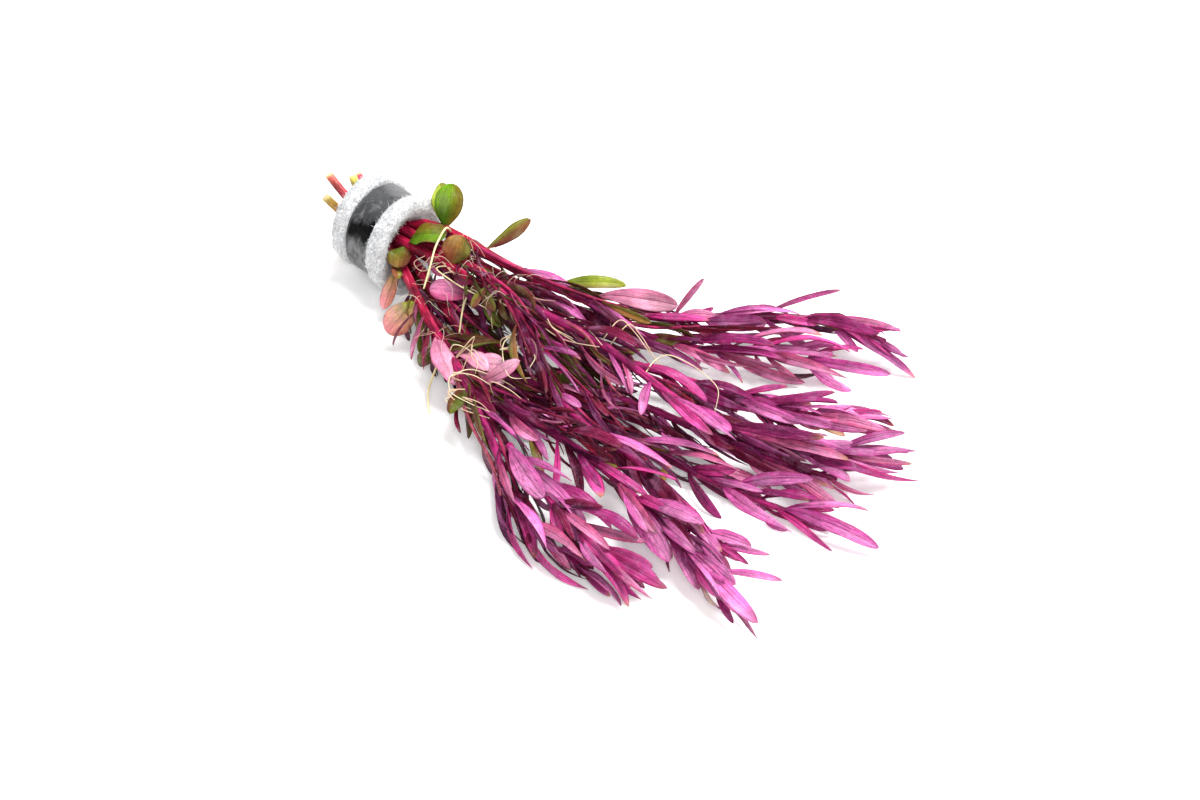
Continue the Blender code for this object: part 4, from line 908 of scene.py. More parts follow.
# How a pink and a green blade are tinted: pale streaks, rust and how much of it, how strong the
# veins are, the midrib, the painted sheen's colour, and how much light glows through in which colour.
PINK_TINT = {
    "pale": (0.74, 0.35, 0.54),
    "rust": (0.2, 0.02, 0.1),
    "rusty": 0.3,
    "veined": 0.12,
    "rib": (0.5, 0.25, 0.36),
    "painted_sheen": (0.4, 0.2, 0.36),
    "glow": 0.16,
    "glow_colour": (1.0, 0.25, 0.6),
}
GREEN_TINT = {
    "pale": (0.34, 0.36, 0.08),
    "rust": (0.2, 0.04, 0.03),
    "rusty": 0.6,
    "veined": 0.3,
    "rib": (1.6, 1.5, 1.2),
    "painted_sheen": (0.26, 0.24, 0.12),
    "glow": 0.2,
    "glow_colour": (0.6, 0.8, 0.2),
}
# The streaks of a blade: how dark and how bright they make it, and how strong the pale ones are.
STREAKED = (0.36, 1.66, 0.66)
SMOOTH = (0.76, 1.22, 0.2)


class Skin:
    """Collects shapes with their leaf coordinates, tones and material slots into one mesh."""

    def __init__(self):
        self.points, self.faces, self.uvs, self.tones, self.slots = [], [], [], [], []
        self.count = 0

    def add(self, points, faces, uv, tone, slot):
        """Takes in a shape whose tone is one colour or a colour for each point."""
        points = np.asarray(points, float).reshape(-1, 3)
        self.faces.extend([tuple(int(k) + self.count for k in f) for f in faces])
        self.slots.extend([slot] * len(faces))
        self.points.append(points)
        self.uvs.append(np.asarray(uv, float).reshape(-1, 2))
        tone = np.asarray(tone, float)
        if tone.ndim == 1:
            tone = np.broadcast_to(tone, (len(points), 3))
        self.tones.append(tone.reshape(-1, 3))
        self.count += len(points)

    def piece(self, name, materials):
        """The collected shapes as one object that rides in the root body."""
        mesh = bpy.data.meshes.new(name)
        points = np.concatenate(self.points) * MM
        mesh.from_pydata(points.tolist(), [], self.faces)
        corners = np.empty(len(mesh.loops), np.int32)
        mesh.loops.foreach_get("vertex_index", corners)
        layer = mesh.uv_layers.new(name="blade")
        layer.data.foreach_set("uv", np.concatenate(self.uvs)[corners].astype(np.float32).ravel())
        tones = np.concatenate(self.tones)
        tint = mesh.attributes.new("tone", "FLOAT_COLOR", "POINT")
        tones = np.column_stack([tones, np.ones(len(tones))]).astype(np.float32)
        tint.data.foreach_set("color", tones.ravel())
        mesh.polygons.foreach_set("material_index", np.array(self.slots, np.int32))
        for material in materials:
            mesh.materials.append(material)
        mesh.shade_smooth()
        mesh.update()
        made = bpy.data.objects.new(name, mesh)
        bpy.context.scene.collection.objects.link(made)
        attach(made, "root")
        return made


def grid_faces(rows, columns, turned=False, start=0):
    """The quads between the points of a grid."""
    i, j = np.meshgrid(np.arange(rows - 1), np.arange(columns - 1), indexing="ij")
    a = (start + i * columns + j).ravel()
    quads = np.stack([a, a + 1, a + columns + 1, a + columns], axis=1)
    return quads[:, ::-1] if turned else quads


def thin_body(middle, normal, thickness):
    """A closed sheet round a grid of middle points: its points and faces."""
    rows, columns = middle.shape[:2]
    over = middle + normal * thickness[..., None] / 2
    under = middle - normal * thickness[..., None] / 2
    under[..., 2] = np.maximum(under[..., 2], 0.04)
    over[..., 2] = np.maximum(over[..., 2], under[..., 2] + 0.05)
    count = rows * columns
    points = np.concatenate([over.reshape(-1, 3), under.reshape(-1, 3)])
    faces = [grid_faces(rows, columns), grid_faces(rows, columns, True, count)]
    first = [k * columns for k in range(rows)]
    rim = first[::-1] + list(range(1, columns)) + [k * columns + columns - 1 for k in range(1, rows)]
    rim += [(rows - 1) * columns + k for k in range(columns - 2, 0, -1)]
    ring = np.array(rim)
    after = np.roll(ring, -1)
    faces.append(np.stack([ring, after, after + count, ring + count], axis=1)[:, ::-1])
    return points, np.concatenate(faces)


def painted_depth_shade(points):
    """Painted shade: how much the colour of growth lying low inside the bunch is darkened, as a factor
    that is 1 where it is open to the light.
    """
    points = np.asarray(points, float)
    light = np.clip(DIM_AT_TABLE + points[..., 2:3] / DIM_DEPTH, DIMMEST, 1)
    return 1 - (1 - light) * np.clip((DIM_TO_X - points[..., 0:1]) / DIM_FADE, 0, 1)


def is_at(leaf, spot):
    """True for the one leaf whose tip is at a spot."""
    return (leaf["tip"] - spot).length < 1.5


def drawn_width(leaf):
    """How wide the leaf is drawn. Pink leaves stay narrower, most of all in the upper crowns."""
    x, y, _ = leaf["tip"]
    width = leaf["width"]
    if is_at(leaf, BLEACHED_TIP):
        width *= BLEACHED_SWELL
    if is_at(leaf, SLENDER_TIP):
        width *= SLENDER_SHARE
    if leaf["slot"] == PINK:
        upper = y > UPPER_FROM_Y
        most = CROWN_LEAF_MOST if x > 100 and upper else LEAF_MOST
        width = min(width, most + SHARE_PAST_MOST * (width - most))
        if x > 60 and upper:
            width *= UPPER_SHARE
    return width


def blade_tone(leaf, t, s, grid):
    """The leaf's colour at each point: from base to tip, on one side, where it is dry or bare, and
    painted shade on inner leaves that lie low or face away.
    """
    low, high, beside = (linear(*c) for c in TONES[leaf["tone"]])
    mix = np.clip(t * 1.25 - 0.1, 0, 1)[:, None, None]
    tone = low * (1 - mix) + high * mix
    one_side = np.clip(s * leaf["side"] * 1.1 + 0.1, 0, 0.85)[None, :, None]
    tone = (tone * (1 - one_side) + beside * one_side) * leaf["shade"]
    if leaf["slot"] == PINK:
        dry = (np.clip((t - 0.88) / 0.12, 0, 1) * leaf["burnt"])[:, None, None]
        tone = tone * (1 - dry) + linear(*DRY_TIP) * dry
    # Painted shade on inner leaves: darker low in the bunch and where they face away from the view.
    if "line" in leaf:
        tone = tone * painted_depth_shade(grid) * leaf["open"]
    if is_at(leaf, BLEACHED_TIP):
        bare = (np.exp(-(((t - 0.68) / 0.18) ** 4)) * 0.9)[:, None, None]
        tone = tone * (1 - bare) + linear(*BLEACHED) * bare
    return np.broadcast_to(tone, (*grid.shape[:2], 3)).reshape(-1, 3)


def fine_blade(leaf, rows, half, dice):
    """A leaf with a folded midrib, cupped halves, a rippled edge and a slight twist."""
    t = np.linspace(0, 1, rows + 1)
    t = 0.4 * t + 0.6 * (0.5 - 0.5 * np.cos(np.pi * t))
    s = np.linspace(-1, 1, 2 * half + 1)
    base, tip = np.array(leaf["base"]), np.array(leaf["tip"])
    chord = tip - base
    length = np.linalg.norm(chord)
    ahead = chord / length
    facing = np.array(leaf["facing"])
    flat = facing - ahead * facing.dot(ahead)
    flat /= np.linalg.norm(flat)
    turn = Matrix.Rotation(leaf["roll"], 3, Vector(ahead))
    across = np.array(turn @ Vector(np.cross(ahead, flat)))
    face = np.cross(across, ahead)
    broad = drawn_width(leaf)
    width = np.array([broad / 2 * half_width(leaf["form"], v) for v in t])
    width = np.maximum(width, np.where(t < 0.3, 0.34, 0.04 + 0.2 * (1 - t)))
    bow = 4 * t * (1 - t) * leaf["arch"] * length
    curl = -dice.uniform(-0.02, 0.09) * length * np.clip(t - 0.55, 0, 1) ** 2 / 0.2
    sway = dice.uniform(-0.05, 0.05) * length * np.sin(np.pi * t)
    middle = base + chord * t[:, None] + face * (bow + curl)[:, None] + across * sway[:, None]
    middle = middle + np.exp(-t / 0.07)[:, None] * leaf["petiole"]
    twist = leaf["twist"] * (t - 0.25)
    normal = face * np.cos(twist)[:, None] + across * np.sin(twist)[:, None]
    side = across * np.cos(twist)[:, None] - face * np.sin(twist)[:, None]
    lift = leaf["fold"] * np.abs(s) ** 1.3 - leaf["cup"] * s**2
    phase = dice.uniform(0, 6.28)
    waves = 2 * np.pi * dice.uniform(1.2, 2.6) * t[:, None] + phase + s[None] * 1.3
    ripple = leaf["ripple"] * np.abs(s) ** 2.5 * np.sin(waves)
    rise = (lift[None] + ripple) * width[:, None]
    rise -= 0.09 * np.exp(-((s / 0.16) ** 2))[None] * np.minimum(width, 1.0)[:, None]
    grid = middle[:, None] + side[:, None] * (s[None] * width[:, None])[..., None]
    grid = grid + normal[:, None] * rise[..., None]
    thick = LEAF_BODY * (1 - 0.72 * s[None] ** 2) * (1 + 1.6 * np.exp(-t / 0.08))[:, None]
    grid[..., 2] = np.maximum(grid[..., 2], 0.16)
    points, faces = thin_body(grid, np.broadcast_to(normal[:, None], grid.shape), thick)
    uv = np.stack(np.broadcast_arrays((s[None] + 1) / 2, t[:, None]), axis=-1).reshape(-1, 2)
    tone = blade_tone(leaf, t, s, grid)
    return points, faces, np.concatenate([uv, uv]), np.concatenate([tone, tone])


def fine_tube(line, radii, sides, rib=0.0):
    """A closed round tube along the line: its points, faces and coordinates round and along it."""
    line = np.asarray(line, float)
    ahead = np.gradient(line, axis=0)
    ahead /= np.linalg.norm(ahead, axis=1)[:, None]
    first = np.cross(ahead[0], (0.13, 0.21, 1.0))
    frames = [first / np.linalg.norm(first)]
    for k in range(1, len(line)):
        carried = frames[-1] - ahead[k] * frames[-1].dot(ahead[k])
        frames.append(carried / np.linalg.norm(carried))
    across = np.array(frames)
    over = np.cross(ahead, across)
    turn = np.linspace(0, 2 * np.pi, sides, endpoint=False)
    swell = 1 + rib * np.sin(3 * turn + 0.6)
    ring = across[:, None] * np.cos(turn)[None, :, None] + over[:, None] * np.sin(turn)[None, :, None]
    points = line[:, None] + ring * (np.asarray(radii)[:, None] * swell[None])[..., None]
    rows = len(line)
    i, k = np.meshgrid(np.arange(rows - 1), np.arange(sides), indexing="ij")
    after = (k + 1) % sides
    row, above = i * sides, (i + 1) * sides
    faces = np.stack([row + k, row + after, above + after, above + k], -1).reshape(-1, 4).tolist()
    ends = [line[0], line[-1] + ahead[-1] * radii[-1] * 0.6]
    points = np.concatenate([points.reshape(-1, 3), ends])
    along = along_line(line)
    uv = np.stack(np.broadcast_arrays(turn[None] / (2 * np.pi), along[:, None] / 10), -1).reshape(-1, 2)
    uv = np.concatenate([uv, [[0.5, 0], [0.5, along[-1] / 10]]])
    low, high = rows * sides, rows * sides + 1
    last = (rows - 1) * sides
    faces += [(low, (k + 1) % sides, k) for k in range(sides)]
    faces += [(high, last + k, last + (k + 1) % sides) for k in range(sides)]
    return points, faces, uv


class Look:
    """A new material, with short calls for the patterns and sums that its colours come from."""

    def __init__(self, name):
        self.made = bpy.data.materials.new(name)
        self.made.use_nodes = True
        self.nodes = self.made.node_tree.nodes
        self.links = self.made.node_tree.links
        self.shader = self.nodes["Principled BSDF"]
        self.spot = self.nodes.new("ShaderNodeTexCoord").outputs["Object"]

    def give(self, socket, value):
        """Sets a socket to a number, a colour or a vector, or links it to what another node gives."""
        if isinstance(value, (int, float)):
            socket.default_value = value
        elif isinstance(value, tuple):
            socket.default_value = (*value, 1)[: len(socket.default_value)]
        else:
            self.links.new(value, socket)

    def dress(self, values):
        """Gives the shader's inputs their values by name, and returns the material."""
        for name, value in values.items():
            self.give(self.shader.inputs[name], value)
        return self.made

    def carried(self):
        """The blade coordinates and the tone that the mesh carries."""
        blade = self.nodes.new("ShaderNodeUVMap")
        blade.uv_map = "blade"
        tone = self.nodes.new("ShaderNodeAttribute")
        tone.attribute_name = "tone"
        return blade.outputs["UV"], tone.outputs["Color"]

    def maths(self, operation, *values):
        node = self.nodes.new("ShaderNodeMath")
        node.operation = operation
        for socket, value in zip(node.inputs, values):
            self.give(socket, value)
        return node.outputs[0]

    def all_of(self, operation, values):
        result = values[0]
        for value in values[1:]:
            result = self.maths(operation, result, value)
        return result

    def times(self, *values):
        return self.all_of("MULTIPLY", values)

    def plus(self, *values):
        return self.all_of("ADD", values)

    def minus(self, first, second):
        return self.maths("SUBTRACT", first, second)

    def blend(self, kind, share, first, second):
        """Two colours mixed or multiplied by a share."""
        node = self.nodes.new("ShaderNodeMix")
        node.data_type = "RGBA"
        node.blend_type = kind
        node.clamp_result = False
        for number, value in ((0, share), (6, first), (7, second)):
            self.give(node.inputs[number], value)
        return node.outputs[2]

    def ramp(self, value, *stops):
        """A smooth step of the value: where it starts and ends, and what it gives there."""
        node = self.nodes.new("ShaderNodeMapRange")
        node.interpolation_type = "SMOOTHSTEP"
        for socket, stop in zip(node.inputs, (value, *stops)):
            self.give(socket, stop)
        return node.outputs[0]

    def pattern(self, place, scale, detail=3.0, rough=0.55, distortion=0.0):
        """Noise of a given fineness."""
        node = self.nodes.new("ShaderNodeTexNoise")
        values = {"Vector": place, "Scale": scale, "Detail": detail, "Roughness": rough}
        for name, value in {**values, "Distortion": distortion}.items():
            self.give(node.inputs[name], value)
        return node.outputs["Fac"]

    def stretched(self, place, scale):
        node = self.nodes.new("ShaderNodeMapping")
        self.give(node.inputs["Scale"], scale)
        self.give(node.inputs["Vector"], place)
        return node.outputs["Vector"]

    def split(self, vector):
        node = self.nodes.new("ShaderNodeSeparateXYZ")
        self.give(node.inputs[0], vector)
        return node.outputs

    def relief(self, height, strength, distance):
        node = self.nodes.new("ShaderNodeBump")
        for name, value in (("Strength", strength), ("Distance", distance), ("Height", height)):
            self.give(node.inputs[name], value)
        self.give(self.shader.inputs["Normal"], node.outputs["Normal"])


def leaf_material(name, tint, streaks):
    """A thin wet blade: pale streaks along it, blotches, a faint midrib, a darker margin and patches of
    painted sheen.
    """
    look = Look(name)
    blade, tone = look.carried()
    u, v, _ = look.split(blade)
    off = look.maths("ABSOLUTE", look.times(look.minus(u, 0.5), 2))
    moved = look.nodes.new("ShaderNodeCombineXYZ")
    for socket, value in zip(moved.inputs, (u, v, look.times(look.pattern(look.spot, 130, 2), 6))):
        look.give(socket, value)
    lines = look.pattern(look.stretched(moved.outputs[0], (21, 1.1, 1)), 1, 4, 0.7, 0.15)
    drift = look.minus(v, look.times(off, 0.32))
    wave = look.maths("ABSOLUTE", look.maths("SINE", look.times(drift, 36)))
    veins = look.ramp(wave, 0.86, 1.0, 0.0, 1.0)
    rib = look.ramp(off, 0.12, 0.02, 0.0, 1.0)
    mottle = look.pattern(look.spot, 620, 5, 0.62)
    broad = look.pattern(look.spot, 170, 4, 0.6, 0.4)
    dark, bright, pale = streaks
    shade = look.times(
        look.ramp(lines, 0.3, 0.66, dark, bright),
        look.ramp(mottle, 0.34, 0.7, 0.9, 1.1),
        look.ramp(broad, 0.34, 0.66, 0.78, 1.2),
    )
    colour = look.blend("MULTIPLY", 1.0, tone, shade)
    share = look.times(look.ramp(lines, 0.54, 0.76, 0.0, pale), look.ramp(broad, 0.4, 0.66, 0.0, 1.0))
    colour = look.blend("MIX", share, colour, tint["pale"])
    rusty = look.ramp(look.pattern(look.spot, 95, 3, 0.6), 0.5, 0.64, 0.0, tint["rusty"])
    share = look.times(rusty, look.ramp(off, 0.35, 1.0, 0.1, 1.0))
    colour = look.blend("MIX", share, colour, tint["rust"])
    colour = look.blend("MULTIPLY", look.times(veins, tint["veined"]), colour, (0.4, 0.2, 0.3))
    colour = look.blend("MULTIPLY", look.times(rib, 0.35), colour, tint["rib"])
    colour = look.blend("MULTIPLY", look.ramp(off, 0.86, 1.0, 0.0, 0.5), colour, (0.6, 0.25, 0.36))
    # Painted sheen: random patches are mixed towards a paler greyish tint, standing in for the leaves'
    # wet highlights.
    share = look.ramp(look.pattern(look.spot, 240, 4, 0.62), 0.5, 0.68, 0.0, 0.3)
    colour = look.blend("MIX", share, colour, tint["painted_sheen"])
    height = look.plus(lines, look.times(rib, -0.5), look.times(veins, -0.15), look.times(mottle, 0.2))
    look.relief(height, 0.9, 0.00032)
    return look.dress({
        "Base Color": colour,
        "Roughness": look.ramp(mottle, 0.3, 0.7, 0.24, 0.46),
        "Specular IOR Level": 0.12,
        "Coat Weight": 0.1,
        "Coat Roughness": 0.07,
        "Subsurface Weight": tint["glow"],
        "Subsurface Radius": tint["glow_colour"],
        "Subsurface Scale": 0.0005,
    })


def stem_material():
    """A moist stem with fine lengthwise ribs and darker and paler stretches."""
    look = Look("stem_skin")
    blade, tone = look.carried()
    ribs = look.pattern(look.stretched(blade, (16, 1.2, 1)), 1, 3, 0.6, 0.2)
    broad = look.pattern(look.spot, 160)
    fine = look.pattern(look.spot, 900)
    blots = look.pattern(look.stretched(look.spot, (0.5, 1, 1)), 420, 4, 0.65, 0.5)
    shade = look.times(
        look.ramp(ribs, 0.34, 0.66, 0.5, 1.4),
        look.ramp(broad, 0.34, 0.66, 0.62, 1.35),
        look.ramp(blots, 0.36, 0.6, 0.6, 1.15),
    )
    colour = look.blend("MULTIPLY", 1.0, tone, shade)
    share = look.times(look.ramp(ribs, 0.54, 0.7, 0.0, 0.6), look.ramp(broad, 0.42, 0.66, 0.0, 1.0))
    look.relief(look.plus(ribs, look.times(fine, 0.3)), 0.6, 0.0003)
    return look.dress({
        "Base Color": look.blend("MIX", share, colour, (0.6, 0.14, 0.2)),
        "Roughness": look.ramp(fine, 0.3, 0.7, 0.3, 0.5),
        "Specular IOR Level": 0.18,
        "Coat Weight": 0.14,
        "Coat Roughness": 0.12,
        "Subsurface Weight": 0.25,
        "Subsurface Radius": (1.0, 0.3, 0.4),
        "Subsurface Scale": 0.0015,
    })


def root_material():
    """A pale root that is a little darker in places."""
    look = Look("root_skin")
    _, tone = look.carried()
    fine = look.pattern(look.spot, 1400, 2)
    shade = look.ramp(look.pattern(look.spot, 220), 0.3, 0.7, 0.78, 1.15)
    look.relief(fine, 0.4, 0.0001)
    return look.dress({
        "Base Color": look.blend("MULTIPLY", 1.0, tone, shade),
        "Roughness": look.ramp(fine, 0.3, 0.7, 0.4, 0.6),
        "Subsurface Weight": 0.3,
        "Subsurface Radius": (1.0, 0.8, 0.5),
        "Subsurface Scale": 0.001,
    })


def foam_material():
    """White fibrous floss: a frosty grain of bright points over slightly greyer hollows, the grey being
    painted shade.
    """
    look = Look("foam_floss")
    matted = look.pattern(look.spot, 1250, 4, 0.8, 1.4)
    clumps = look.pattern(look.spot, 420, 3, 0.6, 0.6)
    cells = look.nodes.new("ShaderNodeTexVoronoi")
    look.give(cells.inputs["Scale"], 2600)
    look.give(cells.inputs["Vector"], look.spot)
    # Painted shade: the colour greys where the bump is low, in the hollows between the lighter raised
    # grain.
    share = look.times(look.ramp(matted, 0.44, 0.56, 0.3, 1.0), look.ramp(clumps, 0.3, 0.66, 0.88, 1.0))
    look.relief(look.plus(matted, look.times(cells.outputs["Distance"], 0.6)), 0.8, 0.0005)
    return look.dress({
        "Base Color": look.blend("MIX", share, (0.3, 0.305, 0.32), (0.84, 0.843, 0.85)),
        "Roughness": look.ramp(matted, 0.3, 0.7, 0.9, 0.35),
        "Subsurface Weight": 0.15,
        "Subsurface Radius": (1, 1, 1),
        "Subsurface Scale": 0.0004,
    })


def fibre_material():
    """The loose fibres of the floss: bright, a little glossy, and greyer in places."""
    look = Look("foam_fibre")
    fine = look.pattern(look.spot, 900, 2)
    return look.dress({
        "Base Color": look.blend("MIX", fine, (0.6, 0.605, 0.61), (0.92, 0.92, 0.925)),
        "Roughness": look.ramp(fine, 0.3, 0.7, 0.5, 0.3),
        "Subsurface Weight": 0.3,
        "Subsurface Radius": (1, 1, 1),
        "Subsurface Scale": 0.0008,
    })


def lead_material():
    """Soft grey metal in painted light: a painted sheen along the top with brighter patches, near black
    below it, paler on the far side and in mottled patches near the table, and painted glints along the
    edges.
    """
    look = Look("lead_skin")
    x, y, z = look.split(look.spot)
    cloud = look.pattern(look.spot, 130, 3, 0.5, 0.5)
    patch = look.pattern(look.stretched(look.spot, (1.4, 1, 1)), 260, 4, 0.65, 0.8)
    fine = look.pattern(look.spot, 1500, 3, 0.6)
    scratch = look.pattern(look.stretched(look.spot, (7, 1, 1)), 420, 3, 0.6)
    stray = look.times(look.minus(cloud, 0.5), 0.012)
    height = look.plus(z, stray)
    # Painted light by height and side: lighter along the top, near black below it, paler on the far
    # side and in mottled patches towards the table.
    top = look.ramp(height, 0.0208, 0.0236, 0.0, 1.0)
    painted_far_light = look.ramp(look.plus(y, stray), -0.001, 0.0055, 0.0, 1.0)
    low = look.ramp(height, 0.0175, 0.0135, 0.0, 1.0)
    low = look.times(low, look.ramp(patch, 0.36, 0.56, 0.4, 1.0))
    # Painted sheen: brighter patches on the lit top.
    painted_top_sheen = look.times(top, look.ramp(patch, 0.54, 0.66, 0.0, 0.7))
    share = look.maths("MAXIMUM", look.maths("MAXIMUM", painted_far_light, low), painted_top_sheen)
    grey = look.blend("MIX", top, (0.003, 0.003, 0.0035), (0.066, 0.067, 0.07))
    grey = look.blend("MIX", share, grey, (0.18, 0.181, 0.184))
    # Painted glints: a thin pale line along both edges.
    off = look.maths("ABSOLUTE", look.minus(x, MM * (STRIP_FROM_X + STRIP_TO_X) / 2))
    edge = look.times(look.ramp(off, 0.0038, 0.0042, 0.0, 0.45), look.ramp(cloud, 0.4, 0.55, 0.2, 1.0))
    grey = look.blend("MIX", edge, grey, (0.2, 0.2, 0.205))
    grey = look.blend("MULTIPLY", look.ramp(scratch, 0.4, 0.6, 0.0, 0.4), grey, (0.55, 0.55, 0.56))
    look.relief(look.plus(patch, look.times(fine, 0.25)), 0.3, 0.0004)
    return look.dress({
        "Base Color": grey,
        "Metallic": 0.3,
        "Roughness": look.ramp(patch, 0.3, 0.7, 0.36, 0.6),
        "Specular IOR Level": 0.1,
    })


def floor_material():
    """The white table, which glows a little as painted light so that it stays white under the bunch."""
    look = Look("pale_floor")
    soft = look.pattern(look.spot, 40, 2)
    return look.dress({
        "Base Color": look.blend("MIX", soft, (0.9, 0.9, 0.9), (0.92, 0.92, 0.92)),
        "Roughness": 0.7,
        # Painted light: the table glows, lifting the shade under the bunch.
        "Emission Color": (1, 1, 1),
        "Emission Strength": FLOOR_GLOW,
    })


def stem_tone(key, x, count):
    """The stem's colour along its length: its cut stub, red near the foam, and purple beyond."""
    mix = np.clip((x - 20) / 34, 0, 1)[:, None]
    low = linear(160, 14, 52) if key == "a" else STEM_LOW
    tone = low * (1 - mix) + STEM_HIGH * mix
    if key in STUBS:
        near, far = (linear(*c) for c in STUBS[key])
        stub = np.clip((-14 - x) / 3, 0, 1)[:, None]
        along = np.clip((-18.5 - x) / max(-18.5 - x.min(), 1), 0, 1)[:, None] ** 1.5
        tone = tone * (1 - stub) + (near * (1 - along) + far * along) * stub
        tip = np.clip((x.min() + 0.8 - x) / 0.8, 0, 1)[:, None]
        tone = tone * (1 - tip) + linear(226, 204, 140) * tip
    return np.repeat(tone, count, axis=0)


def dress_leaf(leaf, dice, line, near):
    """How one leaf twists, ripples and shades, and where its stalk meets the stem."""
    start = Vector(line[near])
    ahead = (leaf["tip"] - start).normalized()
    leaf["petiole"] = np.array(start + ahead * 0.4 - leaf["base"])
    leaf["twist"] = dice.uniform(-0.25, 0.25) if leaf["form"] == "round" else dice.uniform(-0.8, 0.8)
    leaf["ripple"] = dice.uniform(0.03, 0.16)
    leaf["cup"] = dice.uniform(-0.1, 0.2)
    leaf["shade"] = dice.uniform(0.85, 1.3)
    leaf["side"] = dice.choice((-1, 1))
    if leaf["tone"] == "blush" and not leaf["own"] and leaf["tip"].x < BROAD_BLUSH_TO_X:
        leaf["width"] *= BLUSH_SWELL
    leaf["burnt"] = dice.uniform(0, 1) ** 3
    if leaf["tone"] == "blush" and leaf["tip"].x > BLUSH_TO_X:
        leaf["tone"] = "orchid"
    leaf["slot"] = GREEN if leaf["tone"] in GREEN_TONES else PINK
    if leaf["tone"] in ("blush", "rim") or leaf["own"] and leaf["tone"] == "dusk":
        leaf["slot"] = PALE


def add_twigs(lines, crowd, dice):
    """Thin side shoots that run along the stems in the middle of the bunch."""
    twigs = []
    for key, line in lines.items():
        for start_x in TWIGS_FROM_X:
            first = index_at(line, start_x + dice.uniform(-5, 5))
            last = min(first + round(dice.uniform(14, 24)), len(line) - 2)
            if key in SHOOTS or last - first < 8:
                continue
            for _ in range(10):
                share = np.linspace(0, 1, last - first + 1)[:, None]
                side = np.array((dice.uniform(-0.4, 0.4), dice.gauss(0, 1), dice.uniform(-0.3, 1.0)))
                side /= np.linalg.norm(side)
                bow = side * dice.uniform(3, 6.5)
                sway = np.array([dice.gauss(0, 0.8) for _ in range(3)])
                path = line[first : last + 1] + bow * share**0.7 + sway * np.sin(share * 5)
                path[:, 2] = np.maximum(path[:, 2], 1.2)
                end = Vector(path[-1])
                if any((end - Vector(spot)).length < 9 for spot in OPEN_SPOTS):
                    continue
                clear = path[3:]
                radii = np.full(len(clear), 0.75)
                if not crowd.touches("stem_" + key, tube_mesh(clear, radii, 5)):
                    crowd.add("stem_" + key, *tube_mesh(clear, radii - 0.3, 5))
                    twigs.append((key, path))
                    break
    return twigs


def growth_of(x, lower, old):
    """The kind of growth at a place of a stem, and how far on the next inner leaf grows."""
    if x < FOOT_TO_X:
        return "foot", FOOT_SPACING
    if lower:
        return "low" if x < LOW_TO_X else "far", LOW_SPACING if x < LOW_TO_X + 2 else FAR_SPACING
    return "old" if old else "tip", TIP_SPACING


def inner_leaf(key, line, near, growth, lower, dice):
    """One small leaf at a place of its stem, and which way it grows out."""
    degrees, lengths, tones = INNER_GROWTH[growth]
    ahead, out = outward(line, near, dice.uniform(0, 2 * math.pi))
    if lower:
        out.z = -abs(out.z)
    sweep = dice.uniform(*degrees)
    length = dice.uniform(*lengths)
    tone = dice.choice(tones)
    tip = swept_tip(line[near], ahead, out, sweep, length)
    form = dice.choice(("lance", "dart", "spoon") if lower else ("lance", "lance", "dart"))
    width = length * dice.uniform(0.11, 0.28 if growth == "foot" else 0.16)
    leaf = new_leaf(key, tip, width, form, tone, dice)
    leaf["facing"] = (out * 0.8 + VIEW_SIDE * 0.5).normalized()
    # Painted shade: a leaf that grows away from the side the bunch is seen from gets a darker colour,
    # down to half.
    leaf["open"] = 0.5 + 0.5 * min(1, max(0, 0.6 + 1.2 * out.dot(VIEW_SIDE)))
    return leaf


def inner_leaves(lines, radii, twigs, crowd, box, dice):
    """Small leaves that fill the crowns, and the darker ones lower down, inside the solids' outline."""
    found = []
    tries = tries_around((0, -10, 10, -20, 20), (0, 8, -8, 16), (1, 0.8, 0.62))

    def place(leaf, line, near, radius):
        leaf.update({"at": near, "line": line, "stem_radius": radius[near]})
        if place_leaf(crowd, leaf, line, tries):
            found.append(leaf)

    grown = [(key, line, radii[key], False) for key, line in lines.items()]
    grown += [(key, path, np.full(len(path), 0.45), True) for key, path in twigs]
    for key, line, radius, thin in grown:
        along = along_line(line)
        last = along[-1]
        bare = along[index_at(line, 9)]
        s = last - (1 if thin else 4)
        while s > max(bare, 3):
            near = index_after(along, s)
            lower = thin or s < last - 54
            growth, spacing = growth_of(line[near][0], lower, s < last - 20)
            leaf = inner_leaf(key, line, near, growth, lower, dice)
            tip = leaf["tip"]
            inside = box[0][1] < tip.y * MM < box[1][1] and tip.x * MM < box[1][0]
            gap = in_the_open(tip) or any((tip - Vector(spot)).length < 5 for spot in OPEN_SPOTS)
            if inside and not gap:
                place(leaf, line, near, radius)
            s -= spacing
    for key, spot, tip, width, form, tone in ADDED_LEAVES:
        leaf = new_leaf(key, Vector(tip), width, form, tone, dice)
        # Painted shade: the spoon-formed added leaves are painted darker.
        leaf["open"] = 1.0 if form == "lance" else 0.6
        leaf["facing"] = VIEW_SIDE.copy()
        place(leaf, lines[key], index_by(lines[key], spot), radii[key])
    return found


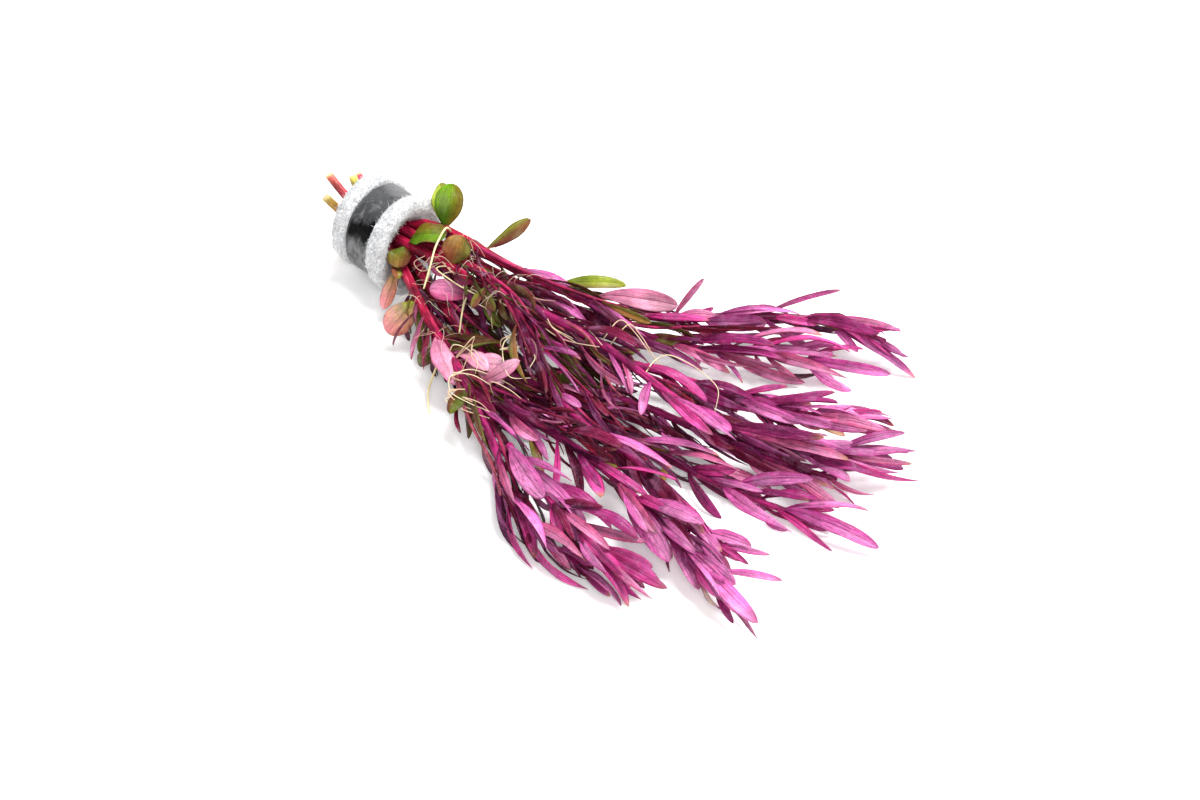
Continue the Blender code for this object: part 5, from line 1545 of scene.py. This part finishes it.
def add_hairs(skin, key, lines, dice):
    """Fine water roots: the long pale ones that show one by one, and a tangle of short ones."""
    for path in HAIRS:
        path = [np.array(p, float) + (LONG_HAIR_SHIFT if p[0] > SHIFTED_FROM_X else 0) for p in path]
        first = path[0]
        if key == min(lines, key=lambda other: np.linalg.norm(lines[other] - first, axis=1).min()):
            fine = smooth_line([lines[key][index_by(lines[key], first)], *path], 0.7)
            fine[:, 2] = np.maximum(fine[:, 2], 0.4)
            size = 0.1 if first[0] < SHIFTED_FROM_X else 0.18
            tube = fine_tube(fine, np.linspace(size, size * 0.5, len(fine)), 6)
            skin.add(*tube, linear(*dice.choice(((226, 208, 168), (214, 180, 150)))), ROOT)
    if key in SHOOTS:
        return
    line = lines[key]
    for _ in range(SHORT_HAIRS):
        spot = np.array(line[index_at(line, dice.triangular(6, 62, 18))], float)
        course = dice.uniform(-2.4, 1.2)
        path = [spot]
        rise = dice.uniform(1.5, 4.5)
        for lift in (0.8, 0.3, -0.1, -0.3, -0.5):
            course += dice.gauss(0, 0.3)
            step = dice.uniform(0.9, 2.2)
            spot = spot + (math.cos(course) * step, math.sin(course) * step, rise * lift)
            path.append(spot)
        fine = smooth_line(path, 0.6)
        fine[:, 2] = np.maximum(fine[:, 2], 0.3)
        tone = dice.choice(((228, 206, 160), (214, 168, 140), (200, 130, 120), (226, 210, 180)))
        skin.add(*fine_tube(fine, np.linspace(0.075, 0.04, len(fine)), 5), linear(*tone), ROOT)


def build_plant(key, lines, radii, leaves, roots, twigs, materials, dice):
    """One stem with its leaves, roots, twigs and hairs as one piece."""
    line = lines[key]
    skin = Skin()
    along = along_line(line)
    fine = smooth_line(list(line[::2]) + ([line[-1]] if len(line) % 2 == 0 else []), 0.9)
    fine_along = along_line(fine)
    radius = np.interp(fine_along / fine_along[-1], along / along[-1], radii[key])
    for knot in sorted({leaf["at"] for leaf in leaves if leaf["stem"] == key and leaf["at"] % 3 == 0}):
        radius *= 1 + KNOT_SWELL * np.exp(-(((fine_along - along[knot]) / KNOT_REACH) ** 2))
    radius *= 1 - STUB_NARROWING * np.clip((STUB_FROM_X - fine[:, 0]) / 2, 0, 1)
    points, faces, uv = fine_tube(fine, radius, 14, 0.04)
    tone = stem_tone(key, fine[:, 0], 14)
    # Painted shade darkens the stem where it lies low inside the bunch.
    tone = np.concatenate([tone, tone[:1], tone[-1:]]) * painted_depth_shade(points) ** 0.4
    skin.add(points, faces, uv, tone, STEM)
    for leaf in leaves:
        if leaf["stem"] == key and not leaf["own"]:
            dress_leaf(leaf, dice, leaf.get("line", line), leaf["at"])
            skin.add(*fine_blade(leaf, 14, 3, dice), leaf["slot"])
    for _, root in (v for v in roots if v[0] == key):
        path = smooth_line(list(root), 0.8)
        size = FINE_ROOT_SIZE if key == "b" else ROOT_SIZE
        tube = fine_tube(path, np.linspace(size, size * 0.75, len(path)), 8)
        skin.add(*tube, linear(226, 212, 160), ROOT)
    for _, path in (v for v in twigs if v[0] == key):
        path = smooth_line(list(path), 0.9)
        points, faces, uv = fine_tube(path, np.linspace(0.6, 0.3, len(path)), 9, 0.05)
        # Painted shade darkens the twig where it lies low inside the bunch.
        skin.add(points, faces, uv, linear(*dice.choice(TWIG_TONES)) * painted_depth_shade(points) ** 0.5, STEM)
    add_hairs(skin, key, lines, dice)
    name = ("shoot_" if key in SHOOTS else "stem_") + key
    piece = skin.piece(name + "_plant", materials)
    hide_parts(name)


def build_plants(lines, radii, leaves, roots, twigs, materials):
    dice = random.Random(21)
    for key in lines:
        build_plant(key, lines, radii, leaves, roots, twigs, materials, dice)
    for number, leaf in enumerate((v for v in leaves if v["own"]), 1):
        skin = Skin()
        dress_leaf(leaf, dice, lines[leaf["stem"]], leaf["at"])
        skin.add(*fine_blade(leaf, 26, 6, dice), leaf["slot"])
        piece = skin.piece(f"leaf_{number}_blade", materials)
        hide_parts(f"leaf_{number}")


def foam_section():
    """The roll's section in fine steps: its bore, its open mouth, and round the outside."""
    waist, flare = FOAM_WAIST_RADIUS, FOAM_FLARE_RADIUS
    bore, mouth = BORE_RADIUS, BORE_MOUTH_RADIUS
    end, back, near, far = FOAM_TO_X, FOAM_FROM_X, STRIP_TO_X, STRIP_FROM_X
    turn = np.linspace(0, np.pi / 2, 7)
    outline = [(BORE_MOUTH_FROM_X, bore + 0.2), (end - 3.4, mouth - 2.6), (end - 1.2, mouth - 0.6)]
    outline += [(end - 0.6 + 0.6 * math.sin(a), mouth + 0.8 - 0.8 * math.cos(a)) for a in turn]
    outline += [(end - 1.7 + 1.7 * math.cos(a), flare - 1.7 + 1.6 * math.sin(a)) for a in turn]
    past = np.pi / 2 + turn * 0.3
    outline += [(near + 1.0 + 1.6 * math.cos(a), flare - 1.4 + 1.3 * math.sin(a)) for a in past]
    outline += [(near + 0.5, flare - 1.1), (near + 0.3, waist), (far - 0.3, waist)]
    outline += [(far - 0.5, flare - 1.1), (far - 1.4, flare - 0.2)]
    outline += [(back + 1.6 - 1.6 * math.sin(a), flare - 1.8 + 1.7 * math.cos(a)) for a in turn]
    outline += [(back + 0.2, bore + 2.2), (back + 1.6, bore + 0.6), (-12, bore + 0.2)]
    path = []
    for (x0, r0), (x1, r1) in zip(outline, outline[1:] + outline[:1]):
        count = max(1, round(math.hypot(x1 - x0, r1 - r0) / 0.5))
        path += [(x0 + (x1 - x0) * k / count, r0 + (r1 - r0) * k / count) for k in range(count)]
    return path


def mouth_radius(x):
    """How far the roll is open at each x."""
    opened = min(max((x - BORE_MOUTH_FROM_X) / (FOAM_TO_X - BORE_MOUTH_FROM_X), 0.0), 1.0)
    return BORE_RADIUS + 0.3 + opened * (BORE_MOUTH_RADIUS - BORE_RADIUS)


def foam_spot(x, r, a):
    """A point of the roll's lumpy surface, and which way its fibres stand there."""
    spot = Vector((x, r * math.cos(a), r * math.sin(a)))
    lump = sum(noise.noise(spot * fineness) * height for fineness, height in FOAM_LUMPS)
    under = r < FOAM_WAIST_RADIUS + 0.4 and STRIP_FROM_X - 1.2 < x < STRIP_TO_X + 1.2
    inner = r < mouth_radius(x) + 0.3
    reach = r + (0 if under else -abs(lump) * 0.4 if inner else lump)
    slip = 0.7 * lump if x > FOAM_TO_X - 1.6 or x < FOAM_FROM_X + 1.4 else 0
    if inner:
        out = Vector((0.8, -math.cos(a), -math.sin(a)))
    else:
        end = 1.0 if x > FOAM_TO_X - 1.4 else -1.0 if x < FOAM_FROM_X + 1.2 else 0.0
        out = Vector((end, math.cos(a), math.sin(a)))
    return roll_point(x + slip, reach, a), out.normalized()


def build_foam(materials, dice):
    """The foam roll: soft uneven flares, a wide mouth towards the leaves, and loose fibres all over."""
    path = foam_section()
    count = len(path)
    sides = 180
    points = np.empty((sides, count, 3))
    away = np.empty((sides, count, 3))
    for i in range(sides):
        for k, (x, r) in enumerate(path):
            points[i, k], away[i, k] = foam_spot(x, r, 2 * math.pi * i / sides)
    points[..., 2] = np.maximum(points[..., 2], 0.02)
    i, k = np.meshgrid(np.arange(sides), np.arange(count), indexing="ij")
    a, b = (i + 1) % sides, (k + 1) % count
    faces = np.stack([i * count + k, a * count + k, a * count + b, i * count + b], -1).reshape(-1, 4)
    skin = Skin()
    skin.add(points, faces.tolist(), np.zeros((sides * count, 2)), (1, 1, 1), 0)
    shown = [k for k, (x, _) in enumerate(path) if x > STRIP_TO_X + 0.6]
    shown += [k for k, (x, r) in enumerate(path) if x < STRIP_FROM_X - 0.6 and r > BORE_RADIUS + 2]
    shown.sort()
    for number in range(FIBRES):
        i, k = dice.randrange(sides), dice.choice(shown)
        start, out = points[i, k], away[i, k]
        tangent = np.array([dice.gauss(0, 1) for _ in range(3)])
        tangent -= out * tangent.dot(out)
        tangent /= np.linalg.norm(tangent)
        long = number % 14 == 0
        length = dice.uniform(1.4, 3.0) if long else dice.uniform(0.3, 0.95)
        lift = dice.uniform(0.1, 0.4) if long else dice.uniform(0.2, 1.1)
        tip = start + (tangent + out * lift) * length
        bend = np.array([dice.gauss(0, 0.14) for _ in range(3)]) * length
        add_spike(skin, start - out * 0.1, (start + tip) / 2 + bend, tip, dice.uniform(0.03, 0.055))
    piece = skin.piece("foam_roll_floss", materials)
    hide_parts("foam_roll")


def add_spike(skin, start, bend, tip, radius):
    """A closed fibre that tapers from its start over a bend to its tip."""
    start, bend, tip = (np.maximum(p, (-1000, -1000, 0.05)) for p in (start, bend, tip))
    ahead = (tip - start) / np.linalg.norm(tip - start)
    across = np.cross(ahead, (0.31, 0.52, 0.79))
    across /= np.linalg.norm(across)
    over = np.cross(ahead, across)
    ring = [across * math.cos(a) + over * math.sin(a) for a in (0, 2.094, 4.189)]
    points = [start + v * radius for v in ring] + [bend + v * radius * 0.8 for v in ring] + [tip]
    faces = [(2, 1, 0)]
    for k, after in ((0, 1), (1, 2), (2, 0)):
        faces += [(k, after, after + 3, k + 3), (k + 3, after + 3, 6)]
    skin.add(points, faces, np.zeros((7, 2)), (1, 1, 1), 1)


def build_strip(material):
    """The lead strip: soft, a little dented, with uneven edges and its outer end lapped over."""
    rows, columns = 300, 16
    lap = STRIP_LAP_DEG + LAP_RISE_DEG
    middle = np.empty((rows + 1, columns + 1, 3))
    normal = np.empty_like(middle)
    for k in range(rows + 1):
        part = k / rows * (360 + STRIP_LAP_DEG)
        lift = min(1.0, max(0.0, part - 360 + LAP_RISE_DEG) / lap * 1.9)
        radius = STRIP_RADIUS + lift * lift * (3 - 2 * lift) * (STRIP_THICKNESS + 0.3)
        turn = math.radians(STRIP_SEAM_DEG + part)
        y, z = radius * math.cos(turn), radius * math.sin(turn)
        skew = 0.35 * math.sin(turn * 2)
        for j in range(columns + 1):
            share = j / columns
            edge = abs(share - 0.5) * 2
            x = STRIP_FROM_X + skew + (STRIP_TO_X - STRIP_FROM_X) * share
            x += 0.22 * edge**4 * noise.noise(Vector((turn * 5, share * 2, 4.0)))
            dent = 0.16 * noise.noise(Vector((x * 0.35, y * 0.3, z * 0.3)))
            dent += 0.1 * noise.noise(Vector((x * 0.9, y * 0.8, z * 0.8)))
            reach = radius + dent - 0.12 * edge**3
            aside, height = roll_centre(x)
            middle[k, j] = (x, aside + reach * math.cos(turn), height + reach * math.sin(turn))
            normal[k, j] = (0, math.cos(turn), math.sin(turn))
    points, faces = thin_body(middle, normal, np.full(middle.shape[:2], STRIP_THICKNESS))
    skin = Skin()
    skin.add(points, faces[:, ::-1], np.zeros((len(points), 2)), (1, 1, 1), 0)
    piece = skin.piece("lead_strip_skin", [material])
    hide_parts("lead_strip")


def added(name, data):
    """A new object in the scene."""
    made = bpy.data.objects.new(name, data)
    bpy.context.scene.collection.objects.link(made)
    return made


def looking(place, aim):
    """The turn of a lamp or camera that looks from a place at its aim."""
    return (aim - Vector(place)).to_track_quat("-Z", "Y").to_euler()


def build_stage():
    """The white table, the light of the room and the lamps."""
    mesh = bpy.data.meshes.new("floor")
    corners = [(x * FLOOR_REACH, y * FLOOR_REACH, 0) for x, y in ((-1, -1), (1, -1), (1, 1), (-1, 1))]
    mesh.from_pydata(corners, [], [(0, 1, 2, 3)])
    mesh.materials.append(floor_material())
    added("floor", mesh)
    world = bpy.data.worlds.new("studio")
    world.use_nodes = True
    world.node_tree.nodes["Background"].inputs[0].default_value = (1, 1, 1, 1)
    world.node_tree.nodes["Background"].inputs[1].default_value = FILL
    bpy.context.scene.world = world
    bpy.context.scene.view_settings.view_transform = "Standard"
    for name, place, size, power in LAMPS:
        light = bpy.data.lights.new(name, "AREA")
        light.shape = "DISK"
        light.size = size
        light.energy = power
        lamp = added(name, light)
        lamp.location = place
        lamp.rotation_euler = looking(place, LAMPS_AIM)


def build_camera():
    """The photograph's view."""
    lens = bpy.data.cameras.new("camera")
    lens.sensor_width = SENSOR_MM
    lens.lens = LENS_MM
    lens.clip_start = 0.01
    camera = added("camera", lens)
    camera.location = CAMERA_AT
    camera.rotation_euler = looking(CAMERA_AT, CAMERA_AIM)
    bpy.context.scene.camera = camera


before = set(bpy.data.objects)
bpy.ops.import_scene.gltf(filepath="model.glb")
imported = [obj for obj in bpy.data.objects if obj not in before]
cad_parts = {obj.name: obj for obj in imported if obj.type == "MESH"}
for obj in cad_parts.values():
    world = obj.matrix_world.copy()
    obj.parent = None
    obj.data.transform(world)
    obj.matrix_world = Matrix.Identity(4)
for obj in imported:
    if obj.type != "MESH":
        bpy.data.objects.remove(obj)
cad_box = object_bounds()
build_camera()
build_stage()
crowd = Crowd()
lines, radii, leaves, roots = lay_out(crowd)
twigs = add_twigs(lines, crowd, random.Random(4))
leaves = leaves + inner_leaves(lines, radii, twigs, crowd, cad_box, random.Random(5))
plant_materials = [
    stem_material(),
    leaf_material("pink_leaf", PINK_TINT, STREAKED),
    leaf_material("green_leaf", GREEN_TINT, SMOOTH),
    root_material(),
    leaf_material("pale_leaf", PINK_TINT, SMOOTH),
]
build_plants(lines, radii, leaves, roots, twigs, plant_materials)
build_foam([foam_material(), fibre_material()], random.Random(3))
build_strip(lead_material())
